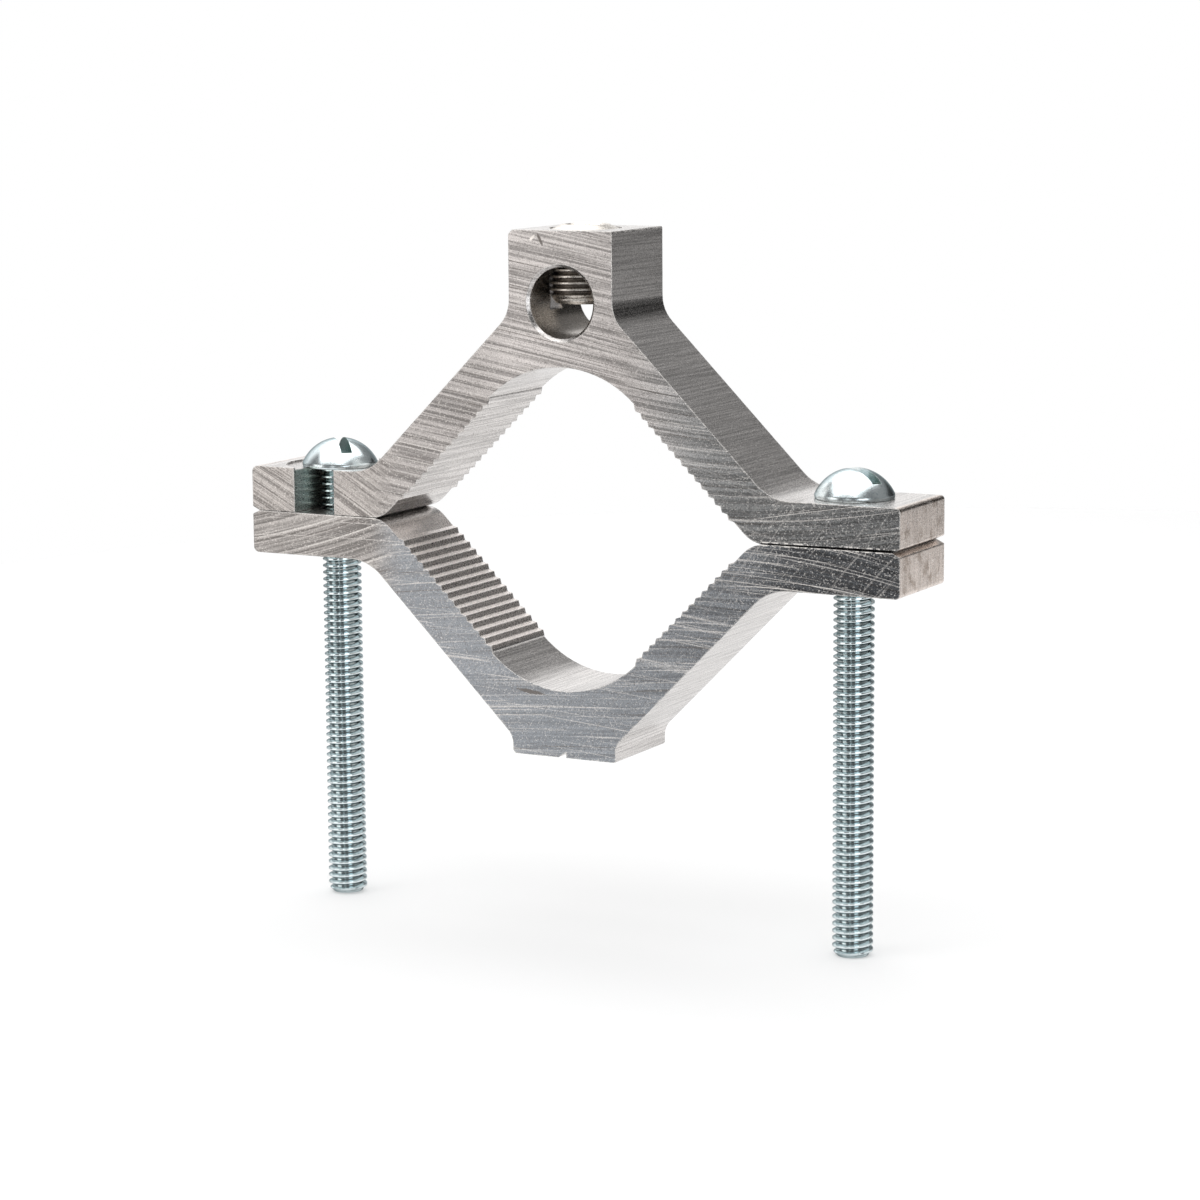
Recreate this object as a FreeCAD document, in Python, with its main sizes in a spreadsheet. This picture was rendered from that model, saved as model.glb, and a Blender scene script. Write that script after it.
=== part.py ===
import FreeCAD, Part
import os
import Sketcher

# Aluminium pipe ground clamp sawn from two extrusions, with its clamp screws and set screw.
# Millimetres. X runs across the clamp, Y along the pipe, Z up.
# The origin is the pipe's axis, halfway through the jaws and level with the parting line.

DRIVING_SIZES = {
    # both jaws
    "jaw_depth": 21.3,
    "vee_apex": 41.0,
    "arm_thickness": 8.5,
    "arch_top": 31.8,
    "arch_radius": 23.0,
    "arch_half_width": 15.9,
    "left_overhang": 14.4,
    "right_overhang": 13.9,
    "parting_bevel_run": 1.6,
    "parting_bevel_drop": 0.75,
    "jaw_seat_gap": 0.05,
    "lip_radius": 6.0,
    "flange_root_radius": 10.0,
    "left_corner_radius": 1.2,
    "right_corner_radius": 0.8,
    "parting_corner_radius": 0.3,
    "square_edge_bevel": 0.25,
    # gripping teeth on the four vee faces
    "tooth_pitch": 2.0,
    "tooth_height": 0.58,
    "tooth_root_sink": 0.2,
    "tooth_count": 15,
    # upper jaw with its conductor lug
    "upper_left_flange": 9.05,
    "upper_right_flange": 8.4,
    "lug_width": 22.6,
    "lug_top": 58.1,
    "lug_root_radius": 7.0,
    "lug_bevel": 0.9,
    "bore_diameter": 13.8,
    "bore_height": 44.15,
    "bore_chamfer": 0.6,
    "screw_hole_diameter": 8.7,
    "swing_slot_width": 9.45,
    "swing_slot_offset": 0.35,
    "spotface_diameter": 22.0,
    "spotface_depth": 0.4,
    # lower jaw with its foot
    "lower_flange_thickness": 8.65,
    "foot_width": 22.8,
    "foot_bottom": 45.05,
    "foot_root_radius": 4.0,
    "foot_bevel": 0.6,
    "notch_edge": 0.5,
    "notch_width": 1.75,
    "notch_depth": 1.2,
    # clamp screws
    "screw_spacing": 114.6,
    "screw_diameter": 7.9,
    "screw_length": 88.9,
    "screw_tip_chamfer": 1.0,
    "head_diameter": 15.3,
    "head_height": 5.85,
    "head_rim": 0.3,
    "driver_slot_width": 2.2,
    "driver_slot_depth": 2.6,
    "left_slot_turn": -44.5,
    "right_slot_turn": -21.0,
    # set screw
    "set_screw_diameter": 14.2,
    "set_screw_length": 15.2,
    "set_screw_stand_out": 0.75,
    "set_screw_hole_below_bore_axis": 2.0,
    "set_screw_crown_step": 2.5,
    "set_screw_crown_drop": 1.15,
    "set_screw_point_step": 1.1,
    "set_screw_point_rise": 1.85,
    "socket_across_flats": 6.35,
    "socket_depth": 6.0,
    "socket_mouth_diameter": 8.0,
    "socket_mouth_depth": 0.9,
    # fits and cutting allowances
    "thread_clearance": 0.05,
    "cut_allowance": 1.0,
}

ROOT_TWO = "sqrt(2)"
OUTER_APEX = f"(Sizes.vee_apex + Sizes.arm_thickness * {ROOT_TWO})"
SCREW_X = "(Sizes.screw_spacing / 2)"
LEFT_END = f"-({SCREW_X} + Sizes.left_overhang)"
RIGHT_END = f"({SCREW_X} + Sizes.right_overhang)"
LEFT_LAND_END = f"({LEFT_END} + Sizes.parting_bevel_run)"
RIGHT_LAND_END = f"({RIGHT_END} - Sizes.parting_bevel_run)"
ARCH_END = (
    "(Sizes.arch_top - Sizes.arch_radius"
    " + sqrt(Sizes.arch_radius ^ 2 - Sizes.arch_half_width ^ 2))"
)
LEFT_SEAT = "(Sizes.upper_left_flange - Sizes.spotface_depth)"
RIGHT_SEAT = "Sizes.upper_right_flange"
SCREW_BORE_RADIUS = "(Sizes.screw_diameter / 2 + Sizes.thread_clearance)"
SET_SCREW_BORE_RADIUS = "(Sizes.set_screw_diameter / 2 + Sizes.thread_clearance)"
SET_SCREW_TOP = "(Sizes.lug_top + Sizes.set_screw_stand_out)"
MATCH_TOLERANCE = 0.01


def make_sheet(doc):
    """Put the driving sizes in a spreadsheet, one row each, with the name as alias."""
    sheet = doc.addObject("Spreadsheet::Sheet", "Sizes")
    for row, (name, value) in enumerate(DRIVING_SIZES.items(), start=1):
        sheet.set(f"A{row}", name)
        sheet.set(f"B{row}", str(value))
        sheet.setAlias(f"B{row}", name)
    doc.recompute()
    return sheet


def value_of(owner, expression):
    """Give an expression's present value as a plain number."""
    result = owner.evalExpression(expression)
    return float(getattr(result, "Value", result))


def make_body(doc, name):
    """Start a body whose label is the piece's file name."""
    body = doc.addObject("PartDesign::Body", name)
    body.Label = name
    return body


def make_sketch(body, name, role, height="0"):
    """Attach a sketch to one of the body's own origin planes, raised by height."""
    plane = next(item for item in body.Origin.OriginFeatures if item.Role == role)
    sketch = body.newObject("Sketcher::SketchObject", name)
    sketch.AttachmentSupport = (plane, [""])
    sketch.MapMode = "FlatFace"
    sketch.setExpression("AttachmentOffset.Base.z", height)
    return sketch


def fix_point(sketch, index, position, point):
    """Tie a sketch point to the origin by two dimensions bound to the sheet."""
    for kind, expression in zip(("DistanceX", "DistanceY"), point):
        value = value_of(sketch, expression)
        row = sketch.addConstraint(Sketcher.Constraint(kind, -1, 1, index, position, value))
        name = f"{kind}_{index}_{position}"
        sketch.renameConstraint(row, name)
        sketch.setExpression(f"Constraints.{name}", expression)


def vector_of(sketch, point):
    """Give a sketch point's present place."""
    return FreeCAD.Vector(value_of(sketch, point[0]), value_of(sketch, point[1]), 0)


def add_lines(sketch, points, closed=True):
    """Draw lines through the points, with every point bound to the sheet."""
    places = [vector_of(sketch, point) for point in points]
    ends = places[1:] + places[:1] if closed else places[1:]
    first = len(sketch.Geometry)
    for start, end in zip(places, ends):
        sketch.addGeometry(Part.LineSegment(start, end), False)
    last = len(sketch.Geometry) - 1
    for index in range(first, last + 1):
        fix_point(sketch, index, 1, points[index - first])
        if index > first:
            sketch.addConstraint(Sketcher.Constraint("Coincident", index - 1, 2, index, 1))
    if closed:
        sketch.addConstraint(Sketcher.Constraint("Coincident", last, 2, first, 1))
    else:
        fix_point(sketch, last, 2, points[-1])
    return first, last


def add_circle(sketch, centre, radius):
    """Draw a circle whose centre and radius are bound to the sheet."""
    place = vector_of(sketch, centre)
    circle = Part.Circle(place, FreeCAD.Vector(0, 0, 1), value_of(sketch, radius))
    index = sketch.addGeometry(circle, False)
    fix_point(sketch, index, 3, centre)
    row = sketch.addConstraint(Sketcher.Constraint("Radius", index, value_of(sketch, radius)))
    sketch.renameConstraint(row, f"Radius_{index}")
    sketch.setExpression(f"Constraints.Radius_{index}", radius)
    return index


def add_arc(sketch, start_ref, end_ref, middle):
    """Close a gap between two line ends with an arc that passes near the middle point."""
    start = sketch.getPoint(*start_ref)
    end = sketch.getPoint(*end_ref)
    arc = Part.Arc(start, vector_of(sketch, middle), end)
    index = sketch.addGeometry(arc, False)
    ends = (sketch.getPoint(index, 1), sketch.getPoint(index, 2))
    swapped = ends[0].distanceToPoint(start) > ends[1].distanceToPoint(start)
    near, far = (2, 1) if swapped else (1, 2)
    sketch.addConstraint(Sketcher.Constraint("Coincident", *start_ref, index, near))
    sketch.addConstraint(Sketcher.Constraint("Coincident", *end_ref, index, far))
    return index


def pad_both_ways(body, sketch, name, length):
    """Extrude a sketch equally to both sides of its plane."""
    pad = body.newObject("PartDesign::Pad", name)
    pad.Profile = sketch
    pad.SideType = "Symmetric"
    pad.setExpression("Length", length)
    body.Document.recompute()
    return pad


def cut(body, sketch, name, length, both_ways=False):
    """Pocket a sketch against its normal, or to both sides, and test that it removed metal."""
    before = body.Shape.Volume
    pocket = body.newObject("PartDesign::Pocket", name)
    pocket.Profile = sketch
    if both_ways:
        pocket.SideType = "Symmetric"
    pocket.setExpression("Length", length)
    body.Document.recompute()
    if body.Shape.Volume >= before:
        raise RuntimeError(f"{name} removed nothing")
    return pocket


def edges_along_y(shape, places):
    """Name the edges that run along Y through the given (x, z) places."""
    names = []
    for number, edge in enumerate(shape.Edges, start=1):
        ends = [vertex.Point for vertex in edge.Vertexes]
        if len(ends) != 2 or abs(ends[0].y - ends[1].y) < MATCH_TOLERANCE:
            continue
        for x, z in places:
            if all(abs(p.x - x) < MATCH_TOLERANCE and abs(p.z - z) < MATCH_TOLERANCE for p in ends):
                names.append(f"Edge{number}")
    return names


def dress_edges(body, kind, name, size, points):
    """Round or bevel the edges along Y through the given points by one bound size."""
    base = body.Tip
    places = [(value_of(body, x), value_of(body, z)) for x, z in points]
    names = edges_along_y(base.Shape, places)
    if len(names) != len(points):
        raise RuntimeError(f"{name} found {len(names)} of {len(points)} edges")
    feature = body.newObject(f"PartDesign::{kind}", name)
    feature.Base = (base, names)
    feature.setExpression("Radius" if kind == "Fillet" else "Size", size)
    body.Document.recompute()
    return feature


def mirrored(point):
    """Give a point's mirror image across the middle of the clamp."""
    return (f"-{point[0]}", point[1])


def both_sides(point):
    """Give a point and its mirror image."""
    return [point, mirrored(point)]


def make_jaw_section(body, left_points, right_points, extra_points, arch_top_point):
    """Draw a jaw's closed section from its two halves, and pad it to the jaw's depth.

    Each half runs from the outer corner to the arch's end. The arch joins the two, and
    extra_points close the outer side from left to right.
    """
    sketch = make_sketch(body, f"{body.Name}_section", "XZ_Plane")
    outline = list(reversed(left_points)) + extra_points + right_points
    first, last = add_lines(sketch, outline, closed=False)
    arc = add_arc(sketch, (last, 2), (first, 1), arch_top_point)
    row = sketch.addConstraint(
        Sketcher.Constraint("Radius", arc, value_of(sketch, "Sizes.arch_radius"))
    )
    sketch.renameConstraint(row, "arch")
    sketch.setExpression("Constraints.arch", "Sizes.arch_radius")
    return pad_both_ways(body, sketch, f"{body.Name}_blank", "Sizes.jaw_depth")


def add_teeth(body, side, level):
    """Stand a run of sawtooth ridges on one vee face.

    side is 1 for the right face and -1 for the left, level 1 for the upper jaw and -1 for the
    lower. One ridge is padded on the face beside the arch and repeated down the slope.
    """
    along = f"Sizes.tooth_pitch / {ROOT_TWO}"
    proud = f"Sizes.tooth_height / {ROOT_TWO}"
    sunk = f"Sizes.tooth_root_sink / {ROOT_TWO}"
    start_x = "Sizes.arch_half_width"
    start_z = "(Sizes.vee_apex - Sizes.arch_half_width)"
    ridge = [
        (start_x, start_z),
        (f"({start_x} + {along} / 2 - {proud})", f"({start_z} - {along} / 2 - {proud})"),
        (f"({start_x} + {along})", f"({start_z} - {along})"),
        (f"({start_x} + {along} + {sunk})", f"({start_z} - {along} + {sunk})"),
        (f"({start_x} + {sunk})", f"({start_z} + {sunk})"),
    ]
    placed = [(f"{side} * {x}", f"{level} * {z}") for x, z in ridge]
    name = f"{body.Name}_{'right' if side > 0 else 'left'}_teeth"
    sketch = make_sketch(body, f"{name}_ridge", "XZ_Plane")
    add_lines(sketch, placed)
    slope = Part.LineSegment(vector_of(sketch, placed[0]), vector_of(sketch, placed[2]))
    axis = sketch.addGeometry(slope, True)
    sketch.addConstraint(Sketcher.Constraint("Coincident", axis, 1, 0, 1))
    sketch.addConstraint(Sketcher.Constraint("Coincident", axis, 2, 2, 1))
    tooth = pad_both_ways(body, sketch, f"{name}_first", "Sizes.jaw_depth")
    run = body.newObject("PartDesign::LinearPattern", name)
    run.Originals = [tooth]
    run.Direction = (sketch, ["Axis0"])
    run.Mode = "Spacing"
    run.setExpression("Offset", "Sizes.tooth_pitch")
    run.setExpression("Occurrences", "Sizes.tooth_count")
    body.Tip = run
    body.Document.recompute()
    return run


def dress_tips(body, name, tips, parting_tips):
    """Round a jaw's outer corners, left and right, and its corners at the parting line."""
    left_tip, right_tip = tips
    dress_edges(body, "Fillet", f"{name}_left_corner", "Sizes.left_corner_radius", [left_tip])
    dress_edges(body, "Fillet", f"{name}_right_corner", "Sizes.right_corner_radius", [right_tip])
    dress_edges(body, "Fillet", f"{name}_parting", "Sizes.parting_corner_radius", parting_tips)


def add_all_teeth(body, level):
    """Give both vee faces of a jaw their teeth."""
    for side in (1, -1):
        add_teeth(body, side, level)


def cut_round_hole(body, name, x, radius, top, length):
    """Cut an upright round hole from the level top downwards."""
    sketch = make_sketch(body, f"{name}_outline", "XY_Plane", top)
    add_circle(sketch, (x, "0"), radius)
    return cut(body, sketch, name, length)


def cut_open_slot(body, name, centre_x, width, top, length):
    """Cut a slot with a round end at the screw's axis and an open mouth in the front face."""
    sketch = make_sketch(body, f"{name}_outline", "XY_Plane", top)
    half = f"{width} / 2"
    mouth = "-(Sizes.jaw_depth / 2 + Sizes.cut_allowance)"
    left_side = f"({centre_x} - {half})"
    right_side = f"({centre_x} + {half})"
    points = [(left_side, "0"), (left_side, mouth), (right_side, mouth), (right_side, "0")]
    first, last = add_lines(sketch, points, closed=False)
    arc = add_arc(sketch, (last, 2), (first, 1), (centre_x, half))
    sketch.addConstraint(Sketcher.Constraint("PointOnObject", arc, 3, -1))
    return cut(body, sketch, name, length)


def make_upper_jaw(doc):
    """Model the upper jaw: vee, two flanges, the conductor lug and its holes."""
    body = make_body(doc, "upper_jaw")
    half_lug = "(Sizes.lug_width / 2)"
    left = "Sizes.upper_left_flange"
    right = "Sizes.upper_right_flange"
    lug_corner = (half_lug, "Sizes.lug_top")
    lug_root = (half_lug, f"({OUTER_APEX} - {half_lug})")
    left_root = (f"-({OUTER_APEX} - {left})", left)
    right_root = (f"({OUTER_APEX} - {right})", right)
    tips = [(LEFT_END, left), (RIGHT_END, right)]
    parting_tips = [
        (LEFT_END, "Sizes.parting_bevel_drop"),
        (RIGHT_END, "Sizes.parting_bevel_drop"),
    ]
    lip = ("Sizes.vee_apex", "0")
    inner = [
        lip,
        ("Sizes.arch_half_width", "(Sizes.vee_apex - Sizes.arch_half_width)"),
        ("Sizes.arch_half_width", ARCH_END),
    ]
    right_half = [lug_corner, lug_root, right_root, tips[1], parting_tips[1], (RIGHT_LAND_END, "0")]
    right_half += inner
    left_half = [mirrored(lug_corner), mirrored(lug_root), left_root, tips[0], parting_tips[0]]
    left_half += [(LEFT_LAND_END, "0")] + [mirrored(point) for point in inner]
    make_jaw_section(body, left_half, right_half, [], ("0", "Sizes.arch_top"))
    dress_edges(body, "Fillet", "lug_roots", "Sizes.lug_root_radius", both_sides(lug_root))
    dress_edges(
        body, "Fillet", "upper_flange_roots", "Sizes.flange_root_radius", [left_root, right_root]
    )
    dress_edges(body, "Fillet", "upper_lips", "Sizes.lip_radius", both_sides(lip))
    dress_tips(body, "upper", tips, parting_tips)
    dress_edges(body, "Chamfer", "lug_left_bevel", "Sizes.lug_bevel", [mirrored(lug_corner)])
    dress_edges(body, "Chamfer", "lug_right_edge", "Sizes.square_edge_bevel", [lug_corner])
    add_all_teeth(body, 1)
    cut_conductor_bore(body)
    cut_round_hole(
        body,
        "set_screw_hole",
        "0",
        SET_SCREW_BORE_RADIUS,
        "(Sizes.lug_top + Sizes.cut_allowance)",
        "(Sizes.lug_top + Sizes.cut_allowance - Sizes.bore_height"
        " + Sizes.set_screw_hole_below_bore_axis)",
    )
    cut_round_hole(
        body, "right_screw_hole", SCREW_X, "(Sizes.screw_hole_diameter / 2)",
        f"({right} + Sizes.cut_allowance)", f"({right} + 2 * Sizes.cut_allowance)",
    )
    cut_open_slot(
        body, "swing_slot", f"(Sizes.swing_slot_offset - {SCREW_X})", "Sizes.swing_slot_width",
        f"({left} + Sizes.cut_allowance)", f"({left} + 2 * Sizes.cut_allowance)",
    )
    cut_round_hole(
        body, "head_spotface", f"-{SCREW_X}", "(Sizes.spotface_diameter / 2)",
        f"({left} + Sizes.cut_allowance)", "(Sizes.cut_allowance + Sizes.spotface_depth)",
    )
    return body


def cut_conductor_bore(body):
    """Bore the lug along Y for the conductor and break both of its rims."""
    sketch = make_sketch(body, "conductor_bore_outline", "XZ_Plane")
    add_circle(sketch, ("0", "Sizes.bore_height"), "(Sizes.bore_diameter / 2)")
    bore = cut(body, sketch, "conductor_bore", "(Sizes.jaw_depth * 2)", both_ways=True)
    radius = value_of(body, "Sizes.bore_diameter") / 2
    height = value_of(body, "Sizes.bore_height")
    rims = []
    for number, edge in enumerate(bore.Shape.Edges, start=1):
        if not isinstance(edge.Curve, Part.Circle):
            continue
        on_axis = abs(edge.Curve.Center.x) < MATCH_TOLERANCE
        level = abs(edge.Curve.Center.z - height) < MATCH_TOLERANCE
        if on_axis and level and abs(edge.Curve.Radius - radius) < MATCH_TOLERANCE:
            rims.append(f"Edge{number}")
    chamfer = body.newObject("PartDesign::Chamfer", "conductor_bore_rims")
    chamfer.Base = (bore, rims)
    chamfer.setExpression("Size", "Sizes.bore_chamfer")
    body.Document.recompute()


def make_lower_jaw(doc):
    """Model the lower jaw: vee, two tapped flanges and the flat foot with its witness notch."""
    body = make_body(doc, "lower_jaw")
    half_foot = "(Sizes.foot_width / 2)"
    flange = "Sizes.lower_flange_thickness"
    seat = "-Sizes.jaw_seat_gap"
    foot_corner = (half_foot, "-Sizes.foot_bottom")
    foot_root = (half_foot, f"-({OUTER_APEX} - {half_foot})")
    flange_root = (f"({OUTER_APEX} - {flange})", f"-{flange}")
    tips = [(LEFT_END, f"-{flange}"), (RIGHT_END, f"-{flange}")]
    parting_level = f"({seat} - Sizes.parting_bevel_drop)"
    parting_tips = [(LEFT_END, parting_level), (RIGHT_END, parting_level)]
    lip = ("(Sizes.vee_apex - Sizes.jaw_seat_gap)", seat)
    inner = [
        lip,
        ("Sizes.arch_half_width", "-(Sizes.vee_apex - Sizes.arch_half_width)"),
        ("Sizes.arch_half_width", f"-{ARCH_END}"),
    ]
    outer = [foot_corner, foot_root, flange_root]
    right_half = [*outer, tips[1], parting_tips[1], (RIGHT_LAND_END, seat), *inner]
    left_half = [mirrored(point) for point in outer] + [tips[0], parting_tips[0]]
    left_half += [(LEFT_LAND_END, seat)] + [mirrored(point) for point in inner]
    notch = [
        ("(Sizes.notch_edge - Sizes.notch_width)", "-Sizes.foot_bottom"),
        ("Sizes.notch_edge", "-(Sizes.foot_bottom - Sizes.notch_depth)"),
        ("Sizes.notch_edge", "-Sizes.foot_bottom"),
    ]
    make_jaw_section(body, left_half, right_half, notch, ("0", "-Sizes.arch_top"))
    dress_edges(body, "Fillet", "foot_roots", "Sizes.foot_root_radius", both_sides(foot_root))
    dress_edges(
        body, "Fillet", "lower_flange_roots", "Sizes.flange_root_radius", both_sides(flange_root)
    )
    dress_edges(body, "Fillet", "lower_lips", "Sizes.lip_radius", both_sides(lip))
    dress_tips(body, "lower", tips, parting_tips)
    dress_edges(body, "Chamfer", "foot_left_bevel", "Sizes.foot_bevel", [mirrored(foot_corner)])
    dress_edges(body, "Chamfer", "foot_right_edge", "Sizes.square_edge_bevel", [foot_corner])
    add_all_teeth(body, -1)
    for name, x in (("left_tapped_hole", f"-{SCREW_X}"), ("right_tapped_hole", SCREW_X)):
        cut_round_hole(
            body, name, x, SCREW_BORE_RADIUS,
            "Sizes.cut_allowance", f"({flange} + 2 * Sizes.cut_allowance)",
        )
    return body


def revolve(body, sketch, name):
    """Turn a half section once round the body's own Z axis."""
    solid = body.newObject("PartDesign::Revolution", name)
    solid.Profile = sketch
    solid.ReferenceAxis = (sketch, ["V_Axis"])
    solid.Angle = 360.0
    body.Document.recompute()
    return solid


def make_clamp_screw(doc, name, x, seat, turn):
    """Model a clamp screw: domed head with a driver slot, and a full-length shank.

    The screw is drawn with the underside of its head at its own zero, then placed on its seat
    and turned about its axis. The shank is at the thread's crest size.
    """
    body = make_body(doc, name)
    shank = "(Sizes.screw_diameter / 2)"
    tip = "Sizes.screw_tip_chamfer"
    head = "(Sizes.head_diameter / 2)"
    outline = [
        ("0", "Sizes.head_height"),
        ("0", "-Sizes.screw_length"),
        (f"({shank} - {tip})", "-Sizes.screw_length"),
        (shank, f"(-Sizes.screw_length + {tip})"),
        (shank, "0"),
        (head, "0"),
        (head, "Sizes.head_rim"),
    ]
    sketch = make_sketch(body, f"{name}_section", "XZ_Plane")
    first, last = add_lines(sketch, outline, closed=False)
    rise = "(Sizes.head_height - Sizes.head_rim)"
    dome = f"(({head} ^ 2 + {rise} ^ 2) / (2 * {rise}))"
    shoulder_x = f"({head} / 2)"
    shoulder_z = f"(Sizes.head_height - {dome} + sqrt({dome} ^ 2 - {shoulder_x} ^ 2))"
    arc = add_arc(sketch, (last, 2), (first, 1), (shoulder_x, shoulder_z))
    sketch.addConstraint(Sketcher.Constraint("PointOnObject", arc, 3, -2))
    revolve(body, sketch, f"{name}_turned")
    slot = make_sketch(body, f"{name}_slot_outline", "XY_Plane", "Sizes.head_height")
    half_width = "(Sizes.driver_slot_width / 2)"
    reach = "(Sizes.head_diameter / 2 + Sizes.cut_allowance)"
    corners = [(reach, half_width), (f"-{reach}", half_width)]
    corners += [(f"-{reach}", f"-{half_width}"), (reach, f"-{half_width}")]
    add_lines(slot, corners)
    cut(body, slot, f"{name}_driver_slot", "Sizes.driver_slot_depth")
    body.setExpression("Placement.Base.x", x)
    body.setExpression("Placement.Base.z", seat)
    body.setExpression("Placement.Rotation.Angle", turn)
    return body


def make_set_screw(doc):
    """Model the conductor's set screw: crowned top, flared hexagon socket and tapered point."""
    body = make_body(doc, "set_screw")
    radius = "(Sizes.set_screw_diameter / 2)"
    bottom = "-Sizes.set_screw_length"
    outline = [
        ("0", "0"),
        ("0", bottom),
        (f"({radius} - Sizes.set_screw_point_step)", bottom),
        (radius, f"({bottom} + Sizes.set_screw_point_rise)"),
        (radius, "-Sizes.set_screw_crown_drop"),
        (f"({radius} - Sizes.set_screw_crown_step)", "0"),
    ]
    sketch = make_sketch(body, "set_screw_section", "XZ_Plane")
    add_lines(sketch, outline)
    revolve(body, sketch, "set_screw_turned")
    socket = make_sketch(body, "socket_outline", "XY_Plane")
    corner = "(Sizes.socket_across_flats / sqrt(3))"
    corners = [
        (f"{corner} * cos({60 * step} deg)", f"{corner} * sin({60 * step} deg)")
        for step in range(6)
    ]
    add_lines(socket, corners)
    cut(body, socket, "hexagon_socket", "Sizes.socket_depth")
    mouth = make_sketch(body, "socket_mouth_section", "XZ_Plane")
    half_mouth = "(Sizes.socket_mouth_diameter / 2)"
    flare = [("0", "0"), ("0", "-Sizes.socket_mouth_depth")]
    flare += [(f"({half_mouth} - Sizes.socket_mouth_depth)", "-Sizes.socket_mouth_depth")]
    flare += [(half_mouth, "0")]
    add_lines(mouth, flare)
    groove = body.newObject("PartDesign::Groove", "socket_mouth")
    groove.Profile = mouth
    groove.ReferenceAxis = (mouth, ["V_Axis"])
    groove.Angle = 360.0
    body.Document.recompute()
    body.setExpression("Placement.Base.z", SET_SCREW_TOP)
    return body


def check_and_export(doc, bodies):
    """Stop if anything in the document failed, then write one file for each piece."""
    failed = [
        item.Name for item in doc.Objects if "Invalid" in item.State or "Error" in item.State
    ]
    if failed:
        raise RuntimeError("failed objects: " + ", ".join(failed))
    for body in bodies:
        shape = body.Shape
        if shape.isNull() or not shape.isValid() or len(shape.Solids) != 1:
            raise RuntimeError(f"{body.Label} is not one valid solid")
    os.makedirs("parts", exist_ok=True)
    for body in bodies:
        body.Shape.exportStep(f"parts/{body.Label}.step")
        print(f"{body.Label}: {body.Shape.Volume / 1000:.2f} cm3")


def main():
    """Build the clamp's five pieces and write them."""
    doc = FreeCAD.newDocument("ground_clamp")
    make_sheet(doc)
    bodies = [
        make_upper_jaw(doc),
        make_lower_jaw(doc),
        make_clamp_screw(doc, "left_clamp_screw", f"-{SCREW_X}", LEFT_SEAT, "Sizes.left_slot_turn"),
        make_clamp_screw(
            doc, "right_clamp_screw", SCREW_X, RIGHT_SEAT, "Sizes.right_slot_turn"
        ),
        make_set_screw(doc),
    ]
    doc.recompute()
    check_and_export(doc, bodies)


main()
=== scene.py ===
# Looks of the pipe ground clamp: studio, camera, sawn and extruded aluminium, and real threads.
# Metres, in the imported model's frame: X across the clamp, Y along the pipe, Z up to the lug.

import logging
import math
from dataclasses import dataclass, field
from enum import Enum
from typing import Any

import bmesh
import bpy
from mathutils import Euler, Matrix, Vector


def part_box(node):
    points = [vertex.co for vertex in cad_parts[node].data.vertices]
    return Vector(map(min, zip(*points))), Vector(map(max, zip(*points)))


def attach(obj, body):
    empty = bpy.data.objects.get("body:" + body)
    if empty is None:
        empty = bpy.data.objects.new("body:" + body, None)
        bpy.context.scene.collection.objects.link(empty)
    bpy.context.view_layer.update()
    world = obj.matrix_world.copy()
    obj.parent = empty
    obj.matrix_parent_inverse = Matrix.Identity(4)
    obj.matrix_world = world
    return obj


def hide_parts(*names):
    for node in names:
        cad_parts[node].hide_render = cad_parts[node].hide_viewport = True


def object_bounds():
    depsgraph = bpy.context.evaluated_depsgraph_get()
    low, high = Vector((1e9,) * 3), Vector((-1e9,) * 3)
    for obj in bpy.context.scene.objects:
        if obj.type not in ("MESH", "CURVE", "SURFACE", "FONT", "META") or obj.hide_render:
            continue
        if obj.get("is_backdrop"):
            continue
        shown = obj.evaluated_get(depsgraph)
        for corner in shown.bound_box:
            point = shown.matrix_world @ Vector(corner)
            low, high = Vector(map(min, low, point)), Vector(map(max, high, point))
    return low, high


Link = bpy.types.NodeSocket
Amount = Link | float
Tint = tuple[float, float, float, float]
Triple = tuple[float, float, float]

LOG = logging.getLogger("ground_clamp")
MM = 0.001
BLACK: Tint = (0.0, 0.0, 0.0, 1.0)
WHITE: Tint = (1.0, 1.0, 1.0, 1.0)


class Side(Enum):
    """The two ends of the clamp, as seen from the front."""

    LEFT = "left"
    RIGHT = "right"


class Socket(Enum):
    """Types of the sockets that a node group is given or puts out."""

    GEOMETRY = "NodeSocketGeometry"
    NUMBER = "NodeSocketFloat"
    COUNT = "NodeSocketInt"
    VECTOR = "NodeSocketVector"
    MATERIAL = "NodeSocketMaterial"


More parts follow.
